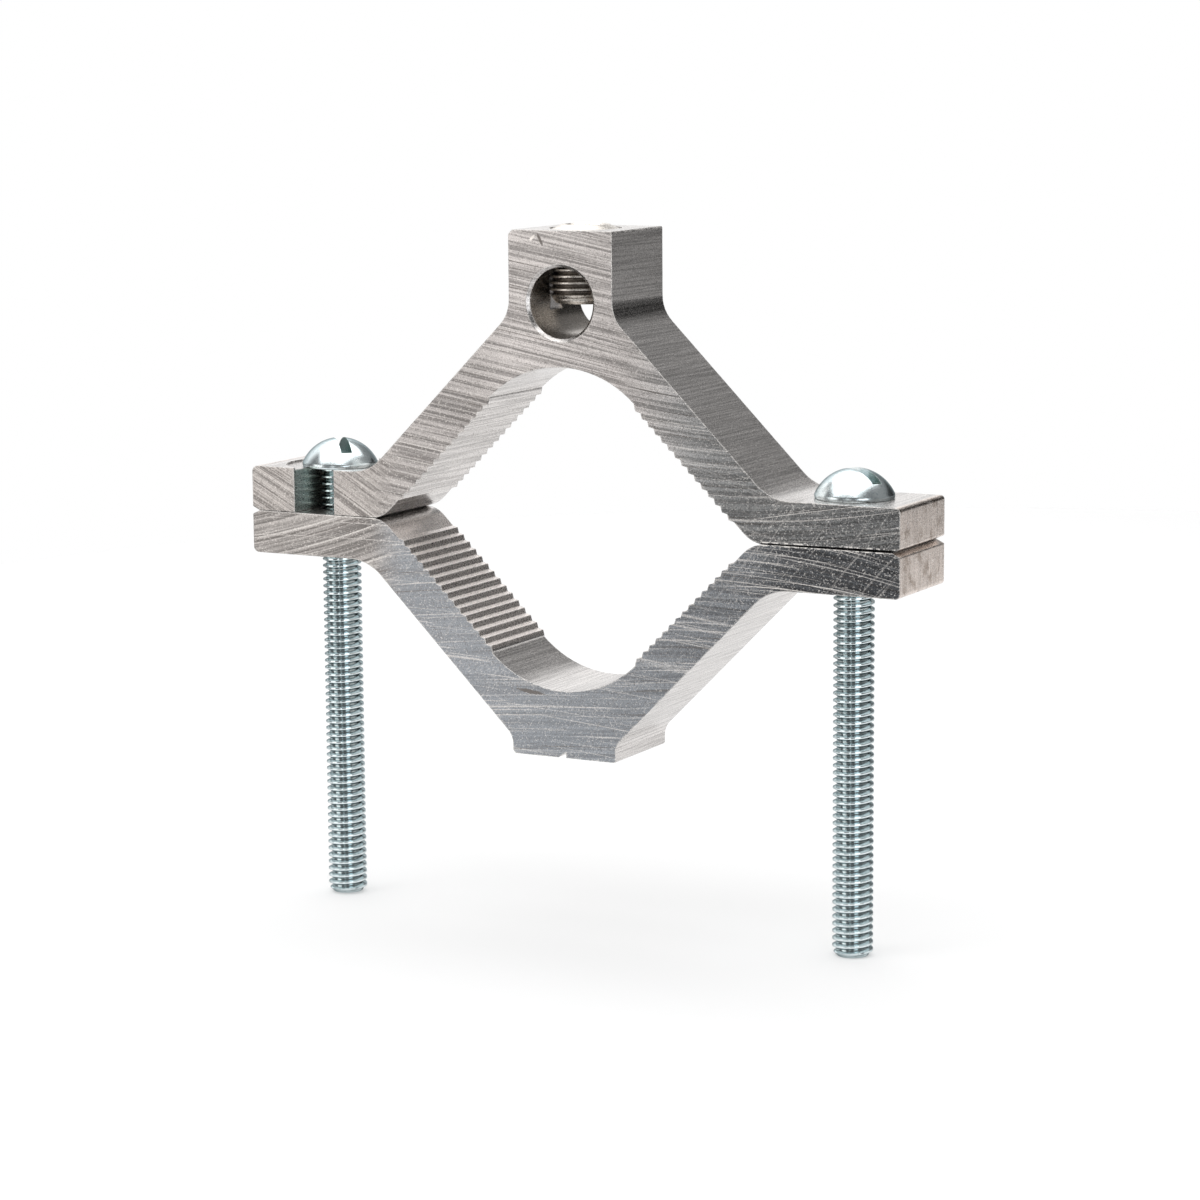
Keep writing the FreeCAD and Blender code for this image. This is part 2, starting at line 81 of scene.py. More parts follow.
class Graph:
    """A node tree with short ways to add, set and join its nodes."""

    def __init__(self, tree: bpy.types.NodeTree) -> None:
        """Keep the tree that the nodes go into.

        Args:
            tree: A shader or geometry node tree.
        """
        self.tree = tree

    def add(self, kind: str, settings: dict[str, Any] | None = None, **inputs: Any) -> bpy.types.Node:
        """Add a node.

        Args:
            kind: The node's type name.
            settings: Attributes to set before the inputs.
            **inputs: Socket names, with underscores for spaces, and their values or links.

        Returns:
            The new node.
        """
        node = self.tree.nodes.new(kind)
        for name, value in (settings or {}).items():
            setattr(node, name, value)
        for name, value in inputs.items():
            self.feed(node.inputs[name.replace("_", " ")], value)
        return node

    def feed(self, socket: Link, value: Any) -> None:
        """Give an input socket what it reads.

        Args:
            socket: The input socket.
            value: A socket to link it to, or a value of its own.
        """
        if isinstance(value, Link):
            self.tree.links.new(value, socket)
        else:
            socket.default_value = value

    def math(self, operation: str, *values: Amount) -> Link:
        """Add a Math node.

        Args:
            operation: The Math node's operation.
            *values: Its operands, numbers or sockets.

        Returns:
            The result's socket.
        """
        node = self.add("ShaderNodeMath", {"operation": operation})
        for index, value in enumerate(values):
            self.feed(node.inputs[index], value)
        return node.outputs[0]

    def times(self, first: Amount, *others: Amount) -> Link:
        """Multiply values or masks together.

        Args:
            first: The first factor.
            *others: The other factors.

        Returns:
            The product's socket.
        """
        for other in others:
            first = self.math("MULTIPLY", first, other)
        return first

    def most(self, first: Amount, *others: Amount) -> Link:
        """Keep the greatest of several values or masks.

        Args:
            first: The first value.
            *others: The other values.

        Returns:
            The greatest value's socket.
        """
        for other in others:
            first = self.math("MAXIMUM", first, other)
        return first

    def vector(self, operation: str, *values: Link | Triple) -> Link:
        """Add a Vector Math node.

        Args:
            operation: The Vector Math node's operation.
            *values: Its operands, vectors or sockets.

        Returns:
            The result's socket: a number for DOT_PRODUCT and LENGTH, else a vector.
        """
        node = self.add("ShaderNodeVectorMath", {"operation": operation})
        for index, value in enumerate(values):
            self.feed(node.inputs[index], value)
        return node.outputs["Value" if operation in ("DOT_PRODUCT", "LENGTH") else "Vector"]

    def join_xyz(self, x: Amount, y: Amount, z: Amount) -> Link:
        """Put three numbers together as a vector."""
        return self.add("ShaderNodeCombineXYZ", X=x, Y=y, Z=z).outputs[0]

    def split_xyz(self, vector: Link) -> bpy.types.NodeOutputs:
        """Take a vector apart into its X, Y and Z sockets."""
        return self.add("ShaderNodeSeparateXYZ", Vector=vector).outputs

    def turned(self, parts: bpy.types.NodeOutputs, angle: Link) -> tuple[Link, Link]:
        """Read a place in the XZ plane along and across a direction.

        Args:
            parts: X, Y and Z of the place.
            angle: The direction's angle from +X towards +Z, in radians.

        Returns:
            The distances along the direction and across it.
        """
        cosine = self.math("COSINE", angle)
        sine = self.math("SINE", angle)
        along = self.math("MULTIPLY_ADD", parts["Z"], sine, self.times(parts["X"], cosine))
        across = self.math("SUBTRACT", self.times(parts["Z"], cosine), self.times(parts["X"], sine))
        return along, across

    def span(
        self, value: Amount, low: Amount, high: Amount, to_low: Amount = 0.0, to_high: Amount = 1.0
    ) -> Link:
        """Map a value's range to another one, softly and clamped at both ends.

        Args:
            value: The value to map.
            low: Where to_low is reached.
            high: Where to_high is reached.
            to_low: Result at low.
            to_high: Result at high.

        Returns:
            The mapped value's socket.
        """
        node = self.add(
            "ShaderNodeMapRange",
            {"interpolation_type": "SMOOTHSTEP"},
            Value=value,
            From_Min=low,
            From_Max=high,
            To_Min=to_low,
            To_Max=to_high,
        )
        return node.outputs["Result"]

    def noise(self, place: Link, scale: Amount, detail: float = 2.0, rough: float = 0.5) -> Link:
        """Add a Noise Texture and give its grey value.

        Args:
            place: The coordinates to read it at.
            scale: Noise scale.
            detail: Number of finer octaves.
            rough: Strength of the finer octaves.

        Returns:
            The noise value's socket.
        """
        node = self.add(
            "ShaderNodeTexNoise", Vector=place, Scale=scale, Detail=detail, Roughness=rough
        )
        return node.outputs[0]

    def blend_colours(self, factor: Amount, first: Link | Tint, second: Link | Tint) -> Link:
        """Mix two colours.

        Args:
            factor: Share of the second colour.
            first: The first colour.
            second: The second colour.

        Returns:
            The mixed colour's socket.
        """
        node = self.add("ShaderNodeMix", {"data_type": "RGBA"})
        self.feed(node.inputs[0], factor)
        self.feed(node.inputs[6], first)
        self.feed(node.inputs[7], second)
        return node.outputs[2]

    def blend_values(self, factor: Amount, first: Amount, second: Amount) -> Link:
        """Mix two numbers.

        Args:
            factor: Share of the second number.
            first: The first number.
            second: The second number.

        Returns:
            The mixed number's socket.
        """
        node = self.add("ShaderNodeMix", {"data_type": "FLOAT"})
        self.feed(node.inputs[0], factor)
        self.feed(node.inputs[2], first)
        self.feed(node.inputs[3], second)
        return node.outputs[0]

    def use(self, group: bpy.types.NodeTree, **inputs: Any) -> bpy.types.NodeOutputs:
        """Place a shader node group.

        Args:
            group: The group to place.
            **inputs: Its named inputs, with underscores for spaces.

        Returns:
            The placed group's outputs.
        """
        return self.add("ShaderNodeGroup", {"node_tree": group}, **inputs).outputs


def start_group(
    name: str,
    inputs: dict[str, tuple[Socket, Any]],
    outputs: dict[str, Socket],
    kind: str = "ShaderNodeTree",
) -> tuple[Graph, bpy.types.NodeOutputs, bpy.types.Node]:
    """Start a node group with named sockets.

    Args:
        name: The group's name.
        inputs: Input names with their socket type and default value.
        outputs: Output names with their socket type.
        kind: Shader or geometry node tree.

    Returns:
        The group's graph, the sockets of its Group Input, and its Group Output node.
    """
    tree = bpy.data.node_groups.new(name, kind)
    for label, (socket_type, default) in inputs.items():
        socket = tree.interface.new_socket(label, in_out="INPUT", socket_type=socket_type.value)
        if default is not None:
            socket.default_value = default
    for label, socket_type in outputs.items():
        tree.interface.new_socket(label, in_out="OUTPUT", socket_type=socket_type.value)
    graph = Graph(tree)
    source = graph.add("NodeGroupInput")
    result = graph.add("NodeGroupOutput")
    return graph, source.outputs, result


def start_material(name: str) -> tuple[bpy.types.Material, Graph, bpy.types.Node]:
    """Start a node material.

    Args:
        name: The material's name.

    Returns:
        The material, its graph and its Principled shader.
    """
    material = bpy.data.materials.new(name)
    material.use_nodes = True
    graph = Graph(material.node_tree)
    shader = next(node for node in graph.tree.nodes if node.type == "BSDF_PRINCIPLED")
    return material, graph, shader


def scaled(tint: Tint, factor: float) -> Tint:
    """Make a tint darker or paler by a factor, up to 0.96 in each part."""
    red, green, blue = (min(part * factor, 0.96) for part in tint[:3])
    return (red, green, blue, 1.0)


@dataclass(frozen=True)
class EffectSizes:
    """Sizes of the shared effects, and the noise values where each mask starts and is full.

    Densities are noise scales per metre.
    """

    fine_pitch: float = 0.23 * MM
    fine_length: float = 22.0 * MM
    coarse_pitch: float = 0.8 * MM
    coarse_length: float = 60.0 * MM
    coarse_share: float = 0.62
    scratch_pitch: float = 0.36 * MM
    scratch_length: float = 60.0 * MM
    scratch_seed: float = 7.3
    streak_rough: float = 0.55
    drawn_pitch: float = 0.34 * MM
    drawn_length: float = 26.0 * MM
    grain_density: float = 3600.0
    pit_offset: Triple = (0.37, 0.11, 0.73)
    ragged_density: float = 1500.0
    raggedness: float = 1.1
    patch_depth: float = 1.5 * MM
    tone_limits: tuple[float, float] = (0.41, 0.59)
    pale_limits: tuple[float, float] = (0.63, 0.66)
    dark_limits: tuple[float, float] = (0.36, 0.33)
    grain_limits: tuple[float, float] = (0.38, 0.62)
    pit_limits: tuple[float, float] = (0.33, 0.25)
    glint_limits: tuple[float, float] = (0.66, 0.74)
    patch_limits: tuple[float, float] = (1.6, 1.25)


class SharedEffects:
    """Shader node groups that more than one finish uses."""

    def __init__(self) -> None:
        """Build every group once."""
        self.sizes = EffectSizes()
        self.saw_marks = self.build_saw_marks()
        self.speckle = self.build_speckle()
        self.drawn_lines = self.build_drawn_lines()
        self.patch = self.build_patch()

    def build_saw_marks(self) -> bpy.types.NodeTree:
        """Build long marks in the XZ plane, at an angle and a little bent.

        Returns:
            A group that puts out the marks' tone, and masks of lone pale and dark scratches.
        """
        sizes = self.sizes
        graph, given, result = start_group(
            "Saw marks",
            {
                "Place": (Socket.VECTOR, None),
                "Angle": (Socket.NUMBER, 0.0),
                "Bend": (Socket.NUMBER, 0.0),
                "Seed": (Socket.NUMBER, 0.0),
            },
            {"Tone": Socket.NUMBER, "Pale": Socket.NUMBER, "Dark": Socket.NUMBER},
        )
        along, across = graph.turned(graph.split_xyz(given["Place"]), given["Angle"])
        across = graph.math("ADD", across, graph.times(along, along, given["Bend"]))
        seed = given["Seed"]
        fine = self.streaks(graph, along, across, seed, sizes.fine_length, sizes.fine_pitch)
        coarse = self.streaks(graph, along, across, seed, sizes.coarse_length, sizes.coarse_pitch)
        seed = graph.math("ADD", seed, sizes.scratch_seed)
        lone = self.streaks(graph, along, across, seed, sizes.scratch_length, sizes.scratch_pitch)
        tone = graph.blend_values(sizes.coarse_share, fine, coarse)
        graph.feed(result.inputs["Tone"], graph.span(tone, *sizes.tone_limits))
        graph.feed(result.inputs["Pale"], graph.span(lone, *sizes.pale_limits))
        graph.feed(result.inputs["Dark"], graph.span(lone, *sizes.dark_limits))
        return graph.tree

    def streaks(
        self, graph: Graph, along: Link, across: Link, seed: Link, length: float, pitch: float
    ) -> Link:
        """Read noise that is drawn out into streaks.

        Args:
            graph: The group's graph.
            along: Distance along the streaks.
            across: Distance across the streaks.
            seed: Which set of streaks is read.
            length: The streaks' usual length.
            pitch: The streaks' usual spacing.

        Returns:
            The noise value's socket.
        """
        place = graph.join_xyz(
            graph.math("DIVIDE", along, length), graph.math("DIVIDE", across, pitch), seed
        )
        return graph.noise(place, 1.0, rough=self.sizes.streak_rough)

    def build_speckle(self) -> bpy.types.NodeTree:
        """Build the fine pits and glints of bare metal.

        Returns:
            A group that puts out the grain's tone, and masks of dark pits and pale glints.
        """
        sizes = self.sizes
        graph, given, result = start_group(
            "Speckle",
            {"Place": (Socket.VECTOR, None), "Density": (Socket.NUMBER, sizes.grain_density)},
            {"Grain": Socket.NUMBER, "Pits": Socket.NUMBER, "Glints": Socket.NUMBER},
        )
        grain = graph.noise(given["Place"], given["Density"], 1.0, 0.6)
        shifted = graph.vector("ADD", given["Place"], sizes.pit_offset)
        sparse = graph.noise(shifted, given["Density"], 0.0)
        graph.feed(result.inputs["Grain"], graph.span(grain, *sizes.grain_limits))
        graph.feed(result.inputs["Pits"], graph.span(sparse, *sizes.pit_limits))
        graph.feed(result.inputs["Glints"], graph.span(sparse, *sizes.glint_limits))
        return graph.tree

    def build_drawn_lines(self) -> bpy.types.NodeTree:
        """Build the lines that a die leaves along an extrusion, which run along Y.

        Returns:
            A group that puts out the lines' tone.
        """
        sizes = self.sizes
        graph, given, result = start_group(
            "Drawn lines",
            {
                "Place": (Socket.VECTOR, None),
                "Pitch": (Socket.NUMBER, sizes.drawn_pitch),
                "Length": (Socket.NUMBER, sizes.drawn_length),
            },
            {"Tone": Socket.NUMBER},
        )
        place = graph.split_xyz(given["Place"])
        read_at = graph.join_xyz(
            graph.math("DIVIDE", place["X"], given["Pitch"]),
            graph.math("DIVIDE", place["Y"], given["Length"]),
            graph.math("DIVIDE", place["Z"], given["Pitch"]),
        )
        tone = graph.noise(read_at, 1.0, 3.0, 0.6)
        graph.feed(result.inputs["Tone"], graph.span(tone, *sizes.grain_limits))
        return graph.tree

    def build_patch(self) -> bpy.types.NodeTree:
        """Build one ragged, long patch in the XZ plane, for a dent, a gouge or a smear.

        Returns:
            A group that puts out the patch's mask.
        """
        sizes = self.sizes
        graph, given, result = start_group(
            "Patch",
            {
                "Place": (Socket.VECTOR, None),
                "Centre": (Socket.VECTOR, None),
                "Angle": (Socket.NUMBER, 0.0),
                "Half Length": (Socket.NUMBER, MM),
                "Half Width": (Socket.NUMBER, MM),
            },
            {"Mask": Socket.NUMBER},
        )
        offset = graph.split_xyz(graph.vector("SUBTRACT", given["Place"], given["Centre"]))
        along, across = graph.turned(offset, given["Angle"])
        reach = graph.join_xyz(
            graph.math("DIVIDE", along, given["Half Length"]),
            graph.math("DIVIDE", across, given["Half Width"]),
            graph.math("DIVIDE", offset["Y"], sizes.patch_depth),
        )
        ragged = graph.noise(given["Place"], sizes.ragged_density, 2.0, 0.6)
        ragged = graph.times(ragged, sizes.raggedness)
        edge = graph.math("ADD", graph.vector("LENGTH", reach), ragged)
        graph.feed(result.inputs["Mask"], graph.span(edge, *sizes.patch_limits))
        return graph.tree


@dataclass(frozen=True)
class JawPlaces:
    """Where the jaws' features are, for the masks that tint them.

    The teeth lie between two distances from the middle. On the lower jaw's toothed slopes, the
    distance from the middle less the height stays under teeth_reach.
    """

    end_face: float = 69.5 * MM
    bore_height: float = 44.15 * MM
    bore_radius: float = 6.9 * MM
    slot_centre: float = -57.3 * MM
    slot_half_width: float = 4.6 * MM
    slot_top: float = 8.6 * MM
    teeth_from: float = 16.5 * MM
    teeth_to: float = 39.0 * MM
    teeth_reach: float = 42.5 * MM
    ledge_facing: float = 0.93
    gap_from: float = 25.0 * MM
    gap_to: float = 68.0 * MM
    gap_low: float = 0.105 * MM
    gap_high: float = 0.455 * MM
    burrs_and_sheen_from: float = 26.0 * MM
    burrs_and_sheen_to: float = 40.0 * MM
    burr_sheen_width: float = 0.34 * MM
    burr_sheen_density: float = 900.0
    edge_wear_and_sheen_density: float = 700.0


class JawMasks:
    """Masks of one jaw's features, built in its material."""

    def __init__(self, graph: Graph, places: JawPlaces) -> None:
        """Read the surface's place and normal once.

        Args:
            graph: The material's graph.
            places: Where the features are.
        """
        self.graph = graph
        self.places = places
        coordinates = graph.add("ShaderNodeTexCoord").outputs
        self.place = coordinates["Object"]
        self.parts = graph.split_xyz(self.place)
        self.across = self.parts["X"]
        self.out = graph.math("ABSOLUTE", self.across)
        self.normal = graph.split_xyz(coordinates["Normal"])
        self.sawn = graph.span(graph.math("ABSOLUTE", self.normal["Y"]), 0.6, 0.8)

    def end(self) -> Link:
        """Mask the flanges' upright ends."""
        end_face = self.places.end_face
        return self.graph.span(self.out, end_face, end_face + 0.8 * MM)

    def bore(self) -> Link:
        """Mask the wall of the conductor's bore.

        Returns:
            The mask's socket.
        """
        graph, places = self.graph, self.places
        above_axis = graph.math("SUBTRACT", self.parts["Z"], places.bore_height)
        from_axis = graph.vector("LENGTH", graph.join_xyz(self.across, 0.0, above_axis))
        return graph.span(from_axis, places.bore_radius + 0.12 * MM, places.bore_radius)

    def slot(self) -> Link:
        """Mask the wall of the left flange's open slot.

        Returns:
            The mask's socket.
        """
        graph, places = self.graph, self.places
        aside = graph.math("ABSOLUTE", graph.math("SUBTRACT", self.across, places.slot_centre))
        return graph.times(
            graph.span(aside, places.slot_half_width + 0.2 * MM, places.slot_half_width),
            graph.span(self.parts["Z"], -0.03 * MM, -0.02 * MM),
            graph.span(self.parts["Z"], places.slot_top, places.slot_top - 0.1 * MM),
        )

    def teeth(self) -> Link:
        """Mask the lower jaw's toothed slopes, inside the V.

        Returns:
            The mask's socket.
        """
        graph, places = self.graph, self.places
        reach = graph.math("SUBTRACT", self.out, self.parts["Z"])
        return graph.times(
            graph.span(reach, places.teeth_reach + 0.2 * MM, places.teeth_reach),
            graph.span(self.out, places.teeth_from - 0.6 * MM, places.teeth_from - 0.4 * MM),
            graph.span(self.parts["Z"], -1.0 * MM, -1.5 * MM),
        )

    def ledges(self) -> Link:
        """Mask the teeth's ledges that look up, which are torn rough and scatter the light.

        Returns:
            The mask's socket.
        """
        graph, places = self.graph, self.places
        return graph.times(
            graph.span(self.normal["Z"], places.ledge_facing, places.ledge_facing + 0.02),
            graph.span(self.out, places.teeth_from - 0.1 * MM, places.teeth_from),
            graph.span(self.out, places.teeth_to, places.teeth_to - 0.3 * MM),
        )

    def parting(self) -> tuple[Link, Link]:
        """Mask the painted shade along the parting line, wider to the right, and the burred strips with
        their painted highlight beside it.

        Returns:
            The painted shade's mask, and the mask of the burred strips and their painted highlight.
        """
        graph, places = self.graph, self.places
        level = self.parts["Z"]
        above = graph.span(level, -0.04 * MM, -0.02 * MM)
        # Painted shade inside the parting line, deeper to the right.
        depth = graph.span(self.across, places.gap_from, places.gap_to, places.gap_low, places.gap_high)
        past = graph.math("SUBTRACT", graph.math("ABSOLUTE", level), graph.times(depth, above))
        gap_shade = graph.times(graph.span(past, 0.03 * MM, -0.04 * MM), above, self.sawn)
        burrs_and_sheen = graph.times(
            graph.span(past, 0.0, 0.04 * MM),
            graph.span(past, places.burr_sheen_width, places.burr_sheen_width - 0.1 * MM),
            graph.span(graph.noise(self.place, places.burr_sheen_density, 3.0, 0.65), 0.46, 0.58),
            graph.span(self.across, places.burrs_and_sheen_from, places.burrs_and_sheen_to),
            self.sawn,
        )
        return gap_shade, burrs_and_sheen

    def edges(self, radius: float) -> Link:
        """Mask the sharp edges for their pale colour, partly real wear and partly a painted highlight,
        broken up as handling and burr marks leave them.

        Args:
            radius: How far the wear reaches from an edge.

        Returns:
            The mask's socket.
        """
        graph = self.graph
        bevel = graph.add("ShaderNodeBevel", {"samples": 4}, Radius=radius)
        geometry = graph.add("ShaderNodeNewGeometry").outputs
        facing = graph.vector("DOT_PRODUCT", bevel.outputs["Normal"], geometry["Normal"])
        broken = graph.noise(self.place, self.places.edge_wear_and_sheen_density, 3.0, 0.6)
        return graph.times(graph.span(facing, 0.985, 0.9), graph.span(broken, 0.42, 0.52, 0.1, 1.0))


@dataclass(frozen=True)
class Blemish:
    """One dent, gouge or smear on a front face, as the photographed clamp has it."""

    x: float
    z: float
    half_length: float
    half_width: float
    angle: float
    pale: float = 0.0
    y: float = -10.65 * MM


@dataclass(frozen=True)
class Scratches:
    """One family of long pale scratches that cross the saw marks.

    Angle and bend are as a zone's. The strengths are those of most of the face and of its rubbed
    right-hand end.
    """

    angle: float
    bend: float
    seed: float
    all_over: float = 0.1
    on_rubbed: float = 0.5


@dataclass(frozen=True)
class Zone:
    """One part of a jaw's sawn face: its tint, its marks' course and its contrast.

    The angle is in degrees from +X towards +Z. The bend is how far the marks leave a straight line
    one metre on, growing with the square of the distance.
    """

    tint: Tint
    angle: float
    bend: float
    low_tone: float = 0.5
    high_tone: float = 1.48

    @property
    def shades(self) -> tuple[Tint, Tint]:
        """Give the tint at the darkest and at the palest mark."""
        return scaled(self.tint, self.low_tone), scaled(self.tint, self.high_tone)


@dataclass(frozen=True)
class SawnFinish:
    """One jaw's aluminium: its zones from left to right, its wear and its tints.

    Each pair of places along X is where a change starts and where it is full: the painted shade on the left
    arm, the painted shade on the right-hand end, the worn tint there, and the scratches that cross it.
    Tones are factors on a tint, and densities are noise scales per metre.
    """

    name: str
    left: Zone
    middle: Zone
    right: Zone
    seed: float
    scratches: tuple[Scratches, ...]
    blemishes: tuple[Blemish, ...]
    # Painted shade: how much of the tint the left arm and the right-hand end keep, and where that shade
    # runs.
    left_shade_level: float = 0.7
    right_shade_level: float = 0.62
    shade_left_of: float = -20.0 * MM
    unshaded_right_of: float = -8.0 * MM
    right_shade_from: float = 16.0 * MM
    right_shade_to: float = 42.0 * MM
    left_limit: float = -40.0 * MM
    right_limit: float = 14.0 * MM
    limit_blur: float = 5.0 * MM
    limit_wobble: float = 12.0 * MM
    wobble_density: float = 120.0
    worn_from: float = 12.0 * MM
    worn_to: float = 34.0 * MM
    scratched_from: float = 28.0 * MM
    scratched_to: float = 48.0 * MM
    pale_lines: float = 0.55
    dark_lines: float = 0.7
    skin_low_tone: float = 0.78
    skin_high_tone: float = 1.2
    end_low_tone: float = 0.86
    end_high_tone: float = 1.14
    rub_pitch: float = 0.5 * MM
    rub_length: float = 16.0 * MM
    stain_density: float = 210.0
    stain_strength: float = 0.7
    grain: float = 0.2
    rubbed_grain: float = 0.14
    pits: float = 0.5
    glints: float = 0.35
    rubbed_glints: float = 0.65
    flecks: float = 0.15
    rubbed_flecks: float = 0.65
    blemish_strength: float = 0.9
    face_roughness: float = 0.25
    skin_roughness: float = 0.28
    edge_radius: float = 0.28 * MM
    edge_wear_and_sheen_radius: float = 0.392 * MM
    tone_roughness: float = 0.06
    grain_roughness: float = 0.08
    line_height: float = 0.3
    grain_height: float = 0.12
    bump_strength: float = 0.4
    bump_depth: float = 0.012 * MM
    scatter: float = 0.7
    riser_scatter: float = 0.16
    skin_tint: Tint = (0.66, 0.635, 0.62, 1.0)
    pale: Tint = (0.92, 0.88, 0.84, 1.0)
    dark_tint: Tint = (0.16, 0.145, 0.135, 1.0)
    end_tint: Tint = (0.76, 0.665, 0.605, 1.0)
    teeth_tint: Tint = (0.96, 0.89, 0.85, 1.0)
    stain: Tint = (0.30, 0.22, 0.165, 1.0)
    bore_tint: Tint = (0.40, 0.365, 0.33, 1.0)
    # Painted reflection of the zinc screw on the slot wall.
    painted_slot_tint: Tint = (0.86, 0.9, 0.84, 1.0)
    places: JawPlaces = JawPlaces()

    def build(self, effects: SharedEffects) -> bpy.types.Material:
        """Build the jaw's material.

        Args:
            effects: The shared node groups.

        Returns:
            The new material.
        """
        material, graph, shader = start_material(self.name)
        masks = JawMasks(graph, self.places)
        rubbed = graph.span(masks.across, self.scratched_from, self.scratched_to)
        marks = self.mark_sets(graph, effects, masks)
        speckle = graph.use(effects.speckle, Place=masks.place)
        lines = graph.use(effects.drawn_lines, Place=masks.place)["Tone"]
        scratched = self.scratched(graph, effects, masks, rubbed, marks["Pale"])
        edges = masks.edges(self.edge_wear_and_sheen_radius)
        gap_shade, burrs_and_sheen = masks.parting()

        face = self.face(graph, masks, marks, scratched)
        colour = graph.blend_colours(masks.sawn, self.skin(graph, masks, lines), face)
        colour = self.add_speckle(graph, speckle, rubbed, masks.sawn, colour)
        for blemish in self.blemishes:
            colour = self.add_blemish(graph, effects, masks.place, blemish, colour)
        # Pale edges: partly real wear, partly a painted highlight.
        colour = graph.blend_colours(edges, colour, self.pale)
        # Partly real burrs, partly a painted highlight: pale strips beside the parting line.
        colour = graph.blend_colours(burrs_and_sheen, colour, self.pale)
        # Painted shade: a black line along the parting line between the jaws.
        graph.feed(shader.inputs["Base Color"], graph.blend_colours(gap_shade, colour, BLACK))

        flecks = graph.blend_values(rubbed, self.flecks, self.rubbed_flecks)
        risers = graph.times(masks.teeth(), graph.math("SUBTRACT", 1.0, masks.sawn))
        torn = graph.most(
            graph.times(scratched, masks.sawn),
            edges,
            graph.times(speckle["Glints"], flecks),
            burrs_and_sheen,
            masks.ledges(),
            graph.times(risers, self.riser_scatter),
        )
        graph.feed(shader.inputs["Metallic"], graph.math("MULTIPLY_ADD", torn, -self.scatter, 1.0))

        rough = graph.blend_values(masks.sawn, self.skin_roughness, self.face_roughness)
        for tone, weight in (
            (marks["Tone"], self.tone_roughness),
            (speckle["Grain"], self.grain_roughness),
        ):
            rough = graph.math("MULTIPLY_ADD", graph.math("SUBTRACT", tone, 0.5), weight, rough)
        graph.feed(shader.inputs["Roughness"], rough)

        height = graph.blend_values(masks.sawn, graph.times(lines, self.line_height), marks["Tone"])
        height = graph.math("MULTIPLY_ADD", speckle["Grain"], self.grain_height, height)
        rounded = graph.add("ShaderNodeBevel", {"samples": 4}, Radius=self.edge_radius)
        bump = graph.add(
            "ShaderNodeBump",
            Strength=self.bump_strength,
            Distance=self.bump_depth,
            Height=height,
            Normal=rounded.outputs["Normal"],
        )
        graph.feed(shader.inputs["Normal"], bump.outputs["Normal"])
        return material

    def mark_sets(self, graph: Graph, effects: SharedEffects, masks: JawMasks) -> dict[str, Link]:
        """Lay the three zones' saw marks side by side, softly joined.

        Args:
            graph: The material's graph.
            effects: The shared node groups.
            masks: The jaw's masks.

        Returns:
            The joined tone and masks by name.
        """
        wobble = graph.math("SUBTRACT", graph.noise(masks.place, self.wobble_density), 0.5)
        across = graph.math("MULTIPLY_ADD", wobble, self.limit_wobble, masks.across)
        past_left, past_right = (
            graph.span(across, limit - self.limit_blur, limit + self.limit_blur)
            for limit in (self.left_limit, self.right_limit)
        )
        left, middle, right = (
            graph.use(
                effects.saw_marks,
                Place=masks.place,
                Angle=math.radians(zone.angle),
                Bend=zone.bend,
                Seed=self.seed + step,
            )
            for step, zone in enumerate((self.left, self.middle, self.right))
        )
        joined = {}
        for name in ("Tone", "Pale", "Dark"):
            left_half = graph.blend_values(past_left, left[name], middle[name])
            joined[name] = graph.blend_values(past_right, left_half, right[name])
        return joined

    def scratched(
        self, graph: Graph, effects: SharedEffects, masks: JawMasks, rubbed: Link, lone: Link
    ) -> Link:
        """Mask the pale scratches: the saw's own, and those that cross the saw marks.

        Args:
            graph: The material's graph.
            effects: The shared node groups.
            masks: The jaw's masks.
            rubbed: Mask of the rubbed right-hand end.
            lone: Mask of the saw's own pale scratches.

        Returns:
            The mask's socket.
        """
        scratched = graph.times(lone, self.pale_lines)
        for family in self.scratches:
            marks = graph.use(
                effects.saw_marks,
                Place=masks.place,
                Angle=math.radians(family.angle),
                Bend=family.bend,
                Seed=family.seed,
            )
            strength = graph.blend_values(rubbed, family.all_over, family.on_rubbed)
            scratched = graph.most(scratched, graph.times(marks["Pale"], strength))
        return scratched

    def face(self, graph: Graph, masks: JawMasks, marks: dict[str, Link], scratched: Link) -> Link:
        """Colour the sawn faces, with a tint and contrast of its own in each zone.

        Args:
            graph: The material's graph.
            masks: The jaw's masks.
            marks: The saw marks' tone and masks.
            scratched: Mask of the pale scratches.

        Returns:
            The colour's socket.
        """
        across = masks.across
        worn = graph.span(across, self.worn_from, self.worn_to)
        past_left = graph.span(across, self.left_limit - self.limit_blur, self.left_limit + self.limit_blur)
        shades = []
        for left, middle, right in zip(self.left.shades, self.middle.shades, self.right.shades):
            shades.append(graph.blend_colours(worn, graph.blend_colours(past_left, left, middle), right))
        colour = graph.blend_colours(marks["Tone"], *shades)
        # Painted shade: the left arm and the right-hand end of the sawn face are darkened towards black.
        painted_shade = graph.most(
            graph.span(across, self.shade_left_of, self.unshaded_right_of, 1.0 - self.left_shade_level, 0.0),
            graph.span(across, self.right_shade_from, self.right_shade_to, 0.0, 1.0 - self.right_shade_level),
        )
        colour = graph.blend_colours(painted_shade, colour, BLACK)
        colour = graph.blend_colours(graph.times(marks["Dark"], self.dark_lines), colour, self.dark_tint)
        return graph.blend_colours(scratched, colour, self.pale)

    def skin(self, graph: Graph, masks: JawMasks, tone: Link) -> Link:
        """Colour the extruded sides, the teeth, the slot, the stained ends and the bore.

        Args:
            graph: The material's graph.
            masks: The jaw's masks.
            tone: Tone of the lines along the extrusion.

        Returns:
            The colour's socket.
        """
        colour = graph.blend_colours(
            tone, scaled(self.skin_tint, self.skin_low_tone), scaled(self.skin_tint, self.skin_high_tone)
        )
        colour = graph.blend_colours(masks.teeth(), colour, self.teeth_tint)
